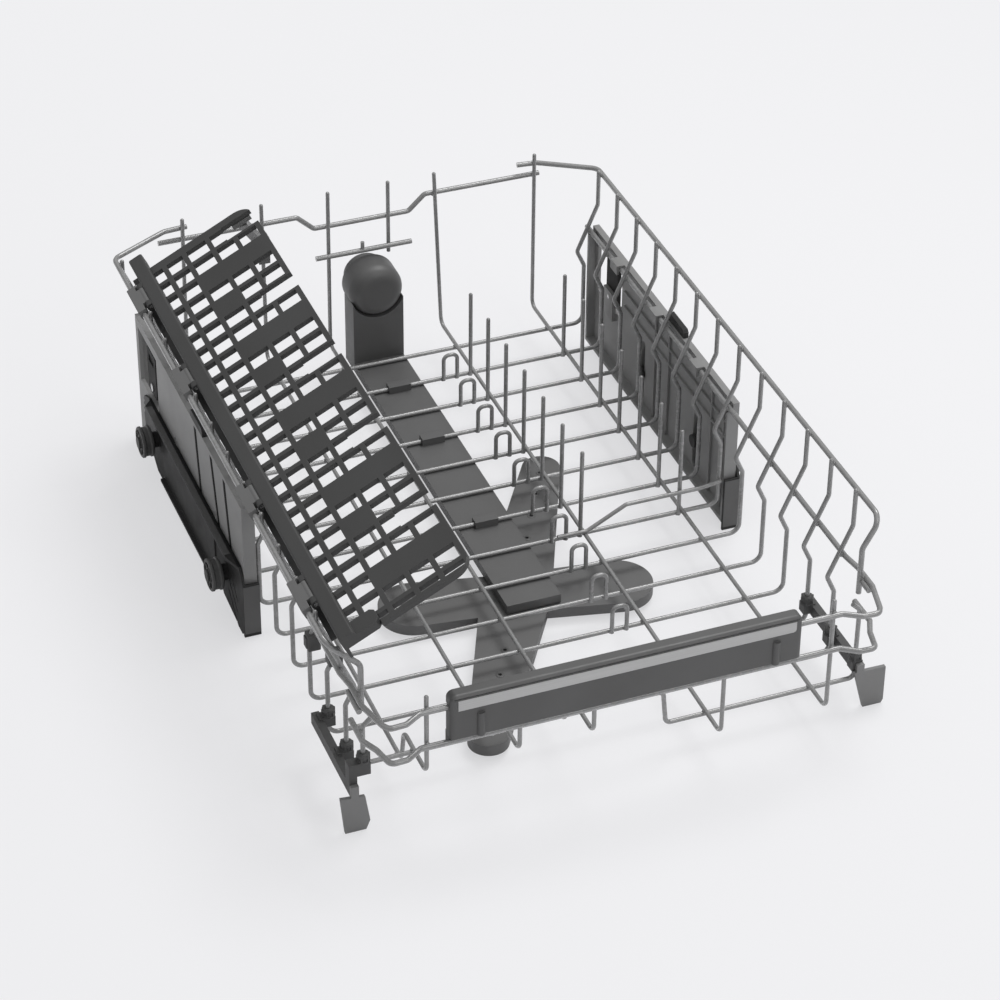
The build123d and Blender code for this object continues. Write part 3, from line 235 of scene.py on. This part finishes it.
def satin_strip(name, level):
    """The handle's lighter strip: lengthwise brushed and satin."""
    n = Nodes(name)
    brushed = n.noise(scale=500, detail=4, stretch=(0.03, 1.0, 6.0))
    base = n.mix(n.span(brushed, low=0, high=1), tint(level - 5), tint(level + 5))
    roughness = n.span(n.noise(scale=60), low=0.32, high=0.42)
    relief = n.bump(brushed, distance=0.00003, strength=0.35, normal=n.rounded(radius=0.0003))
    return n.finish(base, roughness, relief)


def roller_plastic(name, level):
    """Hard, nearly black plastic, turned on the tread and dusty in its recesses, with its edges painted
    lighter as a highlight.
    """
    n = Nodes(name)
    dust = n.noise(scale=300, detail=5)
    base = n.mix(n.span(dust, low=0, high=0.6), tint(level), tint(level + 16, warm=0.01))
    # Painted highlight: sharp edges lighter
    colour = n.mix(n.edges(radius=0.0007), base, tint(level + 22))
    roughness = n.span(n.noise(scale=120), low=0.34, high=0.5)
    relief = n.bump(n.noise(scale=1400), distance=0.00003, strength=0.5, normal=n.rounded(radius=0.0004))
    return n.finish(colour, roughness, relief)


def bare_steel(name, level):
    """Drawn steel pin."""
    n = Nodes(name)
    drawn = n.noise(scale=900, stretch=(1.0, 0.05, 1.0))
    n.set("Metallic", 1.0)
    base = n.mix(n.span(drawn, low=0, high=1), tint(level - 12), tint(level + 12))
    roughness = n.span(drawn, low=0.22, high=0.36)
    return n.finish(base, roughness, n.bump(drawn, distance=0.00002, strength=0.4))


WIRE = coated_wire("coated_wire", level=134)
# Each moulded look's edge setting is how much lighter its edges are painted, a painted highlight
HANDLE = moulded("handle_plastic", level=82, rough=0.42, grain=0.8, edge_highlight=34)
INLAY = satin_strip("handle_strip", level=184)
SHELF = moulded("shelf_plastic", level=60, rough=0.5, edge_highlight=20)
CLIP = moulded("clip_plastic", level=102, rough=0.46, edge_highlight=22)
PANEL = moulded("panel_plastic", level=138, rough=0.48, edge_highlight=18)
CARRIAGE = moulded("carriage_plastic", level=50, rough=0.45, edge_highlight=30, gloss=0.22)
LEVER = moulded("lever_plastic", level=46, rough=0.6, edge_highlight=20, gloss=0.15)
ARM = moulded("arm_plastic", level=72, rough=0.5, edge_highlight=18)
END_PLATE = moulded("end_plate_plastic", level=122, rough=0.44, edge_highlight=14)
FEED = moulded("feed_plastic", level=88, rough=0.45, edge_highlight=16)
SPRAY = moulded("spray_plastic", level=96, rough=0.46, edge_highlight=18)
ROLLER = roller_plastic("roller_plastic", level=76)
# Painted shade: a dark material for strips set where only shadow falls
SHADE_STRIP = moulded("painted_shade_strip", level=34, rough=0.8, edge_highlight=4, gloss=0.1)
# Painted light: a lighter material for strips on lit faces
LIT_STRIP = moulded("painted_light_strip", level=84, rough=0.45, edge_highlight=14)
STEEL = bare_steel("pin_steel", level=190)

NODE_LOOKS = (
    ("handle_shell", HANDLE),
    ("handle_inlay", INLAY),
    ("shelf_hinge_pins", STEEL),
    ("shelf_clips", CLIP),
    ("shelf_stay", CLIP),
    ("shelf_", SHELF),
    ("adjuster_panel", PANEL),
    ("panel_catch", CARRIAGE),
    ("release_lever", LEVER),
    ("lever_pin", STEEL),
    ("carriage", CARRIAGE),
    ("roller_axles", ARM),
    ("roller_", ROLLER),
    ("guide_arm", ARM),
    ("guide_plate", END_PLATE),
    ("feed_nose", FEED),
    ("feed_duct", FEED),
    ("duct_clips", FEED),
    ("spray_arm", SPRAY),
    ("bearing_nut", FEED),
    ("", WIRE),
)


def dress(name, obj):
    """Gives a CAD node the first look whose name it starts with."""
    look = next(material for start, material in NODE_LOOKS if name.startswith(start))
    obj.data.materials.clear()
    obj.data.materials.append(look)
    for face in obj.data.polygons:
        face.material_index = 0


for node_name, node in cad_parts.items():
    dress(node_name, node)


# Small pieces


EDGE_SOFT = 0.3
STRIP_SOFT = 0.1
SOFT_STEPS = 2


def finish_mesh(bm, name, material, body, smooth=True):
    """Makes an object of the mesh, gives it a look and lets it ride on a body."""
    bmesh.ops.recalc_face_normals(bm, faces=bm.faces)
    mesh = bpy.data.meshes.new(name)
    bm.to_mesh(mesh)
    bm.free()
    mesh.materials.append(material)
    for face in mesh.polygons:
        face.use_smooth = smooth
    obj = bpy.data.objects.new(name, mesh)
    bpy.context.scene.collection.objects.link(obj)
    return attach(obj, body)


def across(node, side, reach, levels):
    """X of each level, counted outwards in mm, where the node's outer side lies at the level of reach."""
    low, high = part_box(node)
    outer = (high[0] if side > 0 else low[0]) / MM - SHIFT.x
    return [outer - side * (reach - out) for out in levels]


def about(middle, width):
    """The two ends of a width about its middle."""
    return (middle - width / 2, middle + width / 2)


def bead(bm, point, radii):
    """A small drop of coating where two wires are welded."""
    made = bmesh.ops.create_icosphere(bm, subdivisions=2, radius=1)
    size = Matrix.Diagonal((*[r * MM for r in radii], 1))
    bmesh.ops.transform(bm, verts=made["verts"], matrix=Matrix.Translation(place(*point)) @ size)


def brick(bm, x, y, z, soft=EDGE_SOFT):
    """A box between two values of x, of y and of z, with softened edges."""
    low = place(*[min(pair) for pair in (x, y, z)])
    high = place(*[max(pair) for pair in (x, y, z)])
    made = bmesh.ops.create_cube(bm, size=1)
    scale = Matrix.Diagonal((*(high - low), 1))
    bmesh.ops.transform(bm, verts=made["verts"], matrix=Matrix.Translation((low + high) / 2) @ scale)
    edges = list({edge for vert in made["verts"] for edge in vert.link_edges})
    bmesh.ops.bevel(bm, geom=edges, offset=soft * MM, segments=SOFT_STEPS, profile=0.5, affect="EDGES")


def lathe(bm, profile, matrix, steps):
    """Turns a closed outline of (along, radius) in mm about the axis that the matrix sets."""
    rings = []
    for step in range(steps):
        angle = 2 * math.pi * step / steps
        turned = [(r * math.cos(angle), r * math.sin(angle), along) for along, r in profile]
        rings.append([bm.verts.new(matrix @ (Vector(point) * MM)) for point in turned])
    for one, other in zip(rings, rings[1:] + rings[:1]):
        for k in range(len(profile)):
            following = (k + 1) % len(profile)
            bm.faces.new((one[k], one[following], other[following], other[k]))


def bars_round(bm, matrix, count, first, middle, sizes):
    """Bars set evenly round the axis that the matrix sets; the first stands a share of a step on."""
    for bar in range(count):
        made = bmesh.ops.create_cube(bm, size=1)
        turn = Matrix.Rotation(2 * math.pi * (bar + first) / count, 4, "Z")
        size = Matrix.Diagonal((*[value * MM for value in sizes], 1))
        shift = Matrix.Translation([value * MM for value in middle])
        bmesh.ops.transform(bm, verts=made["verts"], matrix=matrix @ turn @ shift @ size)


# Where the basket's wires cross
FLOOR_Z = -119.0
LONG_RISE = 2.6
LONG_FLOOR_Z = FLOOR_Z + LONG_RISE
LONG_X = (-129.0, -71.0, -24.0, 59.5, 129.5)
REAR_LONG_X = (-127.0, -71.0, -23.2, 54.5, 129.5)
RAISED_LONG_X = (-129.0, -71.0, -24.0)
RAISED_Z = -94.0
FRONT_WALL_Y = -436.0
FRONT_WALL_X = 160.0
DROP_X = 159.6
DROP_Y = -433.5
TIP_X = {"left": -177.8, "right": 166.0}
LOW_X = {"left": -161.0, "right": 156.5}
RING_Z = -43.5
RING_WELD_X = {"left": -163.3, "right": 159.1}
FRONT_Y = -462.5
FRONT_WIRE_Z = -69.5
REAR_Y = 30.1
REAR_WIRE_Z = -9.3
REAR_DIP_Z = -20.5
REAR_DIP_X = 45.0
TINE_X = (57.0, 127.0)
TINE_ROWS = range(1, 8)
ARCH_X = (37.0, 47.0)
ARCH_ROWS = range(1, 11)

# Half sizes of the weld drops along x, y and z
FLOOR_BEAD = (2.0, 2.1, 1.15)
TIP_BEAD = (1.1, 1.7, 2.1)
RING_BEAD = (1.1, 2.0, 2.0)
UPRIGHT_BEAD = (2.0, 1.1, 2.1)
WALL_BEAD = (1.1, 2.0, 2.1)
DROP_BEAD = (1.1, 2.1, 2.1)
TINE_BEAD = (1.9, 1.1, 1.7)

# How far a weld lies from the middle of its first wire
TIP_WELD = 1.4
RAISED_WELD = 1.3
FRONT_WELD = 1.7
REAR_WELD = 1.4
WALL_WELD = 1.4
DROP_WELD = 1.6
TINE_WELD = 1.3


def cross_y(row):
    """Y of a cross wire."""
    return -CROSS_PITCH * row


def weld_beads():
    """Every drop of coating at the welds of the basket."""
    bm = bmesh.new()
    low_weld_z = (FLOOR_Z + LONG_FLOOR_Z) / 2
    for row in range(CROSS_COUNT):
        y = cross_y(row)
        for x in LONG_X:
            bead(bm, (x, y, low_weld_z), FLOOR_BEAD)
        for name, side in SIDES.items():
            bead(bm, (TIP_X[name] + side * TIP_WELD, y, 0), TIP_BEAD)
            bead(bm, (RING_WELD_X[name], y, RING_Z), RING_BEAD)
    for x in LONG_X:
        front_z = RAISED_Z + RAISED_WELD if x in RAISED_LONG_X else low_weld_z
        bead(bm, (x, FRONT_WALL_Y, front_z), FLOOR_BEAD)
        for z in (RING_Z, FRONT_WIRE_Z):
            bead(bm, (x, FRONT_Y + FRONT_WELD, z), UPRIGHT_BEAD)
    for x in REAR_LONG_X:
        rear_z = REAR_WIRE_Z if abs(x) > REAR_DIP_X else REAR_DIP_Z
        bead(bm, (x, REAR_Y + REAR_WELD, rear_z), UPRIGHT_BEAD)
    for side in SIDES.values():
        bead(bm, (side * (FRONT_WALL_X + WALL_WELD), FRONT_WALL_Y, FRONT_WIRE_Z), WALL_BEAD)
        bead(bm, (side * (DROP_X + DROP_WELD), DROP_Y, RING_Z), DROP_BEAD)
    for rows, columns in ((TINE_ROWS, TINE_X), (ARCH_ROWS, ARCH_X)):
        for row in rows:
            for x in columns:
                bead(bm, (x, cross_y(row) - TINE_WELD, FLOOR_Z), TINE_BEAD)
    return finish_mesh(bm, "weld_drops", WIRE, "basket")


# A roller's outline, as places along the axle with their radii
WHEEL_WIDTH = 8.0
WHEEL_BORE = 2.6
WHEEL_PROFILE = (
    (0.0, WHEEL_BORE),
    (0.0, 10.0),
    (0.5, 10.8),
    (1.9, 10.9),
    (2.5, 10.1),
    (5.5, 10.1),
    (6.1, 10.9),
    (7.5, 10.8),
    (WHEEL_WIDTH, 10.1),
    (WHEEL_WIDTH, 8.9),
    (5.8, 8.4),
    (5.8, 5.3),
    (WHEEL_WIDTH, 4.9),
    (WHEEL_WIDTH, WHEEL_BORE),
)
WHEEL_STEPS = 96
WHEEL_WEBS = 6
WEB_SIZE = (3.9, 1.3, 1.9)
WEB_RADIUS = 6.85
WEB_MIDDLE = 6.45
WEB_FIRST = 0.5


def wheel(place_name, side_name):
    """A roller: two rims with a groove between them, and webs in the recess round its hub."""
    node = f"roller_{place_name}_{side_name}"
    side = SIDES[side_name]
    low, high = (Vector(corner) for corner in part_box(node))
    middle = (low + high) / 2
    inner_x = high.x if side < 0 else low.x
    along = Vector((side, 0, 0))
    forward = Vector((0, 1, 0))
    axes = Matrix((forward, along.cross(forward), along)).transposed().to_4x4()
    matrix = Matrix.Translation((inner_x, middle.y, middle.z)) @ axes
    bm = bmesh.new()
    lathe(bm, WHEEL_PROFILE, matrix, WHEEL_STEPS)
    bars_round(bm, matrix, WHEEL_WEBS, WEB_FIRST, (WEB_RADIUS, 0, WEB_MIDDLE), WEB_SIZE)
    body = finish_mesh(bm, f"wheel_{place_name}_{side_name}", ROLLER, node, smooth=False)
    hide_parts(node)
    return body


# A jaw's outline, as heights with their radii
COLLAR_BORE = 1.55
COLLAR_WAIST = 3.3
COLLAR_PROFILE = (
    (0.0, COLLAR_BORE),
    (0.0, 4.2),
    (1.2, 4.2),
    (1.6, COLLAR_WAIST),
    (3.4, COLLAR_WAIST),
    (3.8, 4.0),
    (5.6, 3.8),
    (6.4, 2.7),
    (6.4, COLLAR_BORE),
)
COLLAR_STEPS = 32
COLLAR_FOOT_Z = -104.6
FRONT_COLLAR_Z = -91.6
COLLAR_TOOTH = (2.0, 1.0, 5.4)
COLLAR_TEETH = 6
ARM_ROWS = (11, 12)


def collar(bm, x, y, z):
    """The ribbed jaw of a clip round an upright wire."""
    matrix = Matrix.Translation(place(x, y, z))
    lathe(bm, COLLAR_PROFILE, matrix, COLLAR_STEPS)
    bars_round(bm, matrix, COLLAR_TEETH, 0, (COLLAR_WAIST, 0, COLLAR_TOOTH[2] / 2), COLLAR_TOOTH)


def arm_collars(side_name):
    """The jaws on one guide arm's clips."""
    bm = bmesh.new()
    for row in ARM_ROWS:
        collar(bm, LOW_X[side_name], cross_y(row), COLLAR_FOOT_Z)
    front_z = FRONT_COLLAR_Z if side_name == "left" else COLLAR_FOOT_Z
    collar(bm, SIDES[side_name] * FRONT_WALL_X, FRONT_WALL_Y, front_z)
    made = finish_mesh(bm, "arm_jaws_" + side_name, ARM, "basket", smooth=False)
    return made


PANEL_OUTER = 6.6
PANEL_RIB_OUT = (2.4, 4.2)
PANEL_RIB = 1.4
PANEL_RIB_Y = (-226.0, -206.0, -135.0, -112.0)
PANEL_RIB_Z = (-131.6, -46.5)
PANEL_BEAM_Z = (-62.0, -74.0)
PANEL_BEAM_Y = (-237.6, -56.0)


def panel_ribs(side_name):
    """Stiffening ribs inside a panel's tray, clear of the carriage's pegs."""
    x = across("adjuster_panel_" + side_name, SIDES[side_name], PANEL_OUTER, PANEL_RIB_OUT)
    bm = bmesh.new()
    for y in PANEL_RIB_Y:
        brick(bm, x, about(y, PANEL_RIB), PANEL_RIB_Z)
    for z in PANEL_BEAM_Z:
        brick(bm, x, PANEL_BEAM_Y, about(z, PANEL_RIB))
    made = finish_mesh(bm, "panel_ribs_" + side_name, PANEL, "basket", smooth=False)
    return made


HANDLE_RIB_X = (-84.0, -58.0, -41.0, -8.0, 9.0, 26.0, 43.0, 73.0)
HANDLE_RIB_Y = (-466.2, -461.4)
HANDLE_RIB_Z = ((-63.6, -45.9), (-41.2, -35.3))
HANDLE_RIB = 1.4


def handle_ribs():
    """Ribs inside the handle, above and below the ring wire."""
    bm = bmesh.new()
    for x in HANDLE_RIB_X:
        for z in HANDLE_RIB_Z:
            brick(bm, about(x, HANDLE_RIB), HANDLE_RIB_Y, z)
    made = finish_mesh(bm, "handle_ribs", HANDLE, "basket", smooth=False)
    return made


# The wall clips' bricks, each as its spans of x, y and z and how soft its edges are
REAR_CLIP = ((-162.8, -154.6), (-344.0, -336.0), (-79.0, -67.5), 0.8)
REAR_CLIP_FACE = ((-163.8, -162.0), (-342.6, -337.4), (-77.0, -69.5), 0.4)
FRONT_CLIP = ((-160.8, -151.8), (-378.0, -370.0), (-66.0, -56.5), 0.8)
CLIP_BRIDGE = ((-156.0, -153.2), (-373.0, -340.0), (-70.5, -66.0), 0.5)


def front_clips():
    """The two dark clips that grip wall wires below the ring near the shelf's front corner."""
    bm = bmesh.new()
    for x, y, z, soft in (REAR_CLIP, REAR_CLIP_FACE, FRONT_CLIP, CLIP_BRIDGE):
        brick(bm, x, y, z, soft)
    made = finish_mesh(bm, "wall_clips_left", ARM, "basket", smooth=False)
    return made


# Each groove's upper and lower end, as y and z
GROOVES = (
    ((-140.0, -43.6), (-148.0, -93.4)),
    ((-175.0, -43.6), (-188.5, -95.4)),
    ((-203.0, -43.6), (-213.0, -93.4)),
)
GROOVE_HALF = 2.6
GROOVE_OUT = (4.9, 6.45)


def groove_shade_strips(side_name):
    """A dark strip that nearly fills each groove of a panel: painted shade where the groove's shadow
    falls.
    """
    x = across("adjuster_panel_" + side_name, SIDES[side_name], PANEL_OUTER, GROOVE_OUT)
    bm = bmesh.new()
    for (y0, z0), (y1, z1) in GROOVES:
        top = ((y0 - GROOVE_HALF, z0), (y0 + GROOVE_HALF, z0))
        outline = (*top, (y1 + GROOVE_HALF, z1), (y1 - GROOVE_HALF, z1))
        near, far = ([bm.verts.new(place(level, y, z)) for y, z in outline] for level in x)
        bm.faces.new(near)
        bm.faces.new(far)
        for k in range(len(outline)):
            following = (k + 1) % len(outline)
            bm.faces.new((near[k], near[following], far[following], far[k]))
    made = finish_mesh(bm, "groove_shade_strips_" + side_name, SHADE_STRIP, "basket", smooth=False)
    return made


FLANGE_OUT = 13.4
FLANGE_TOP_Z = -88.0
# Where the painted shade strip beside the panel and the painted light strips on the flange top and front
# end lie
SHADE_OUT = (7.0, 8.8)
SHADE_Y = (-235.0, -34.0)
SHADE_RISE = 0.4
LIT_TOP_OUT = (9.4, 13.2)
LIT_TOP_Y = (-220.0, -42.0)
LIT_TOP_RISE = 0.3
LIT_END_OUT = (-2.2, 8.5)
LIT_END_Y = (-243.3, -243.0)
LIT_END_Z = (-136.0, -99.0)


def carriage_strips(side_name):
    """Painted shade: a dark strip in the shadow beside a panel on its carriage's flange. Painted light:
    lighter strips on the flange's lit top and on the lit front end.
    """
    node = "carriage_" + side_name
    shade_x, lit_top_x, lit_end_x = (
        across(node, SIDES[side_name], FLANGE_OUT, levels) for levels in (SHADE_OUT, LIT_TOP_OUT, LIT_END_OUT)
    )
    bm = bmesh.new()
    # Painted shade: a dark strip in the shadow beside the panel
    brick(bm, shade_x, SHADE_Y, (FLANGE_TOP_Z, FLANGE_TOP_Z + SHADE_RISE), STRIP_SOFT)
    shade_piece = finish_mesh(bm, "carriage_painted_shade_" + side_name, SHADE_STRIP, node, smooth=False)
    bm = bmesh.new()
    # Painted light: lighter strips on the lit flange top and front end
    brick(bm, lit_top_x, LIT_TOP_Y, (FLANGE_TOP_Z, FLANGE_TOP_Z + LIT_TOP_RISE), STRIP_SOFT)
    brick(bm, lit_end_x, LIT_END_Y, LIT_END_Z, STRIP_SOFT)
    lit_pieces = finish_mesh(bm, "carriage_painted_light_" + side_name, LIT_STRIP, node, smooth=False)
    return lit_pieces


# A jet ring's outline, as heights with their radii
JET_PROFILE = ((-0.6, 1.2), (0.35, 1.2), (0.35, 2.2), (0.1, 2.8), (-0.6, 2.8))
JET_STEPS = 24
JET_ANGLE = 242.0
JET_RADII = (60.0, 85.0, 110.0, 135.0)
SPRAY_PLACE = (0.0, -272.0, -128.0)


def spray_jets():
    """A raised ring round each jet of the spray arm."""
    bm = bmesh.new()
    for turn in (0, 180):
        angle = math.radians(JET_ANGLE + turn)
        for radius in JET_RADII:
            x = SPRAY_PLACE[0] + radius * math.cos(angle)
            y = SPRAY_PLACE[1] + radius * math.sin(angle)
            lathe(bm, JET_PROFILE, Matrix.Translation(place(x, y, SPRAY_PLACE[2])), JET_STEPS)
    made = finish_mesh(bm, "spray_jets", FEED, "spray_arm", smooth=False)
    return made


weld_beads()
handle_ribs()
front_clips()
spray_jets()
for side_name in SIDES:
    arm_collars(side_name)
    panel_ribs(side_name)
    groove_shade_strips(side_name)
    carriage_strips(side_name)
    for place_name in ("rear", "front"):
        wheel(place_name, side_name)


# Floor, light and camera


BACKGROUND = (grey(240), grey(240), grey(242), 1)
FLOOR_SIZE = 30
FLOOR_DROP = 0.0002
FLOOR_ROUGH = 0.9
FADE_START = 0.35
FADE_END = 1.1
GLOW_NEAR = 0.66
SKY_LOW = 0.12
SKY_HIGH = 0.78
LIGHT_AIM = Vector((0, 0, 0.06))
LIGHT_SIZE = 1.2
KEY_PLACE = (0.9, 0.5, 2.2)
KEY_POWER = 27
FILL_PLACE = (0.7, -1.9, 1.5)
FILL_POWER = 9


def make_floor():
    """A pale floor that keeps the object's shadow and fades to the background's own colour far away."""
    bm = bmesh.new()
    bmesh.ops.create_grid(bm, x_segments=1, y_segments=1, size=FLOOR_SIZE)
    mesh = bpy.data.meshes.new("floor")
    bm.to_mesh(mesh)
    bm.free()
    floor = bpy.data.objects.new("floor", mesh)
    bpy.context.scene.collection.objects.link(floor)
    floor.location.z = -FLOOR_DROP
    n = Nodes("floor_paper")
    tree = n.tree
    n.set("Base Color", BACKGROUND)
    n.set("Roughness", FLOOR_ROUGH)
    n.set("Specular IOR Level", 0.0)
    glow = tree.nodes.new("ShaderNodeEmission")
    glow.inputs["Color"].default_value = BACKGROUND
    apart = tree.nodes.new("ShaderNodeVectorMath")
    apart.operation = "LENGTH"
    n.link(n.where, apart.inputs[0])
    share = n.span(apart.outputs["Value"], low=GLOW_NEAR, high=1, start=FADE_START, end=FADE_END)
    seen = tree.nodes.new("ShaderNodeLightPath").outputs["Is Camera Ray"]
    far = n.maths("MULTIPLY", share, seen)
    blend = tree.nodes.new("ShaderNodeMixShader")
    n.link(far, blend.inputs["Fac"])
    n.link(n.shader.outputs[0], blend.inputs[1])
    n.link(glow.outputs[0], blend.inputs[2])
    output = tree.nodes["Material Output"]
    n.link(blend.outputs[0], output.inputs["Surface"])
    mesh.materials.append(n.material)


def make_world():
    """Soft light that is stronger from above; the camera sees the background's colour."""
    world = bpy.data.worlds.new("studio")
    bpy.context.scene.world = world
    world.use_nodes = True
    tree = world.node_tree
    light = tree.nodes["Background"]
    light.inputs["Color"].default_value = (1, 1, 1, 1)
    towards = tree.nodes.new("ShaderNodeTexCoord").outputs["Generated"]
    height = tree.nodes.new("ShaderNodeSeparateXYZ")
    tree.links.new(towards, height.inputs[0])
    strength = tree.nodes.new("ShaderNodeMapRange")
    strength.inputs["To Min"].default_value = SKY_LOW
    strength.inputs["To Max"].default_value = SKY_HIGH
    tree.links.new(height.outputs["Z"], strength.inputs["Value"])
    tree.links.new(strength.outputs["Result"], light.inputs["Strength"])
    seen = tree.nodes.new("ShaderNodeBackground")
    seen.inputs["Color"].default_value = BACKGROUND
    path = tree.nodes.new("ShaderNodeLightPath")
    blend = tree.nodes.new("ShaderNodeMixShader")
    tree.links.new(path.outputs["Is Camera Ray"], blend.inputs["Fac"])
    tree.links.new(light.outputs[0], blend.inputs[1])
    tree.links.new(seen.outputs[0], blend.inputs[2])
    tree.links.new(blend.outputs[0], tree.nodes["World Output"].inputs["Surface"])


def area_light(name, where, power):
    """A square soft box aimed at the rack's middle."""
    data = bpy.data.lights.new(name, "AREA")
    data.size = LIGHT_SIZE
    data.energy = power
    lamp = bpy.data.objects.new(name, data)
    bpy.context.scene.collection.objects.link(lamp)
    lamp.location = where
    lamp.rotation_euler = (LIGHT_AIM - Vector(where)).to_track_quat("-Z", "Y").to_euler()


def make_camera():
    """The camera at the photograph's angle."""
    turn, down, roll = (math.radians(value) for value in (AZIMUTH, ELEVATION, ROLL))
    ahead = Vector((math.sin(turn) * math.cos(down), math.cos(turn) * math.cos(down), -math.sin(down)))
    level = Vector((math.cos(turn), -math.sin(turn), 0))
    upright = level.cross(ahead)
    right = math.cos(roll) * level + math.sin(roll) * upright
    up = -math.sin(roll) * level + math.cos(roll) * upright
    data = bpy.data.cameras.new("camera")
    data.lens = LENS
    data.sensor_width = SENSOR
    data.clip_end = CLIP_END
    camera = bpy.data.objects.new("camera", data)
    bpy.context.scene.collection.objects.link(camera)
    turned = Matrix((right, up, -ahead)).transposed().to_4x4()
    camera.matrix_world = Matrix.Translation(CAMERA_PLACE) @ turned
    bpy.context.scene.camera = camera


make_floor()
make_world()
area_light("key", KEY_PLACE, KEY_POWER)
area_light("fill", FILL_PLACE, FILL_POWER)
make_camera()
bpy.context.scene.view_settings.view_transform = "Standard"
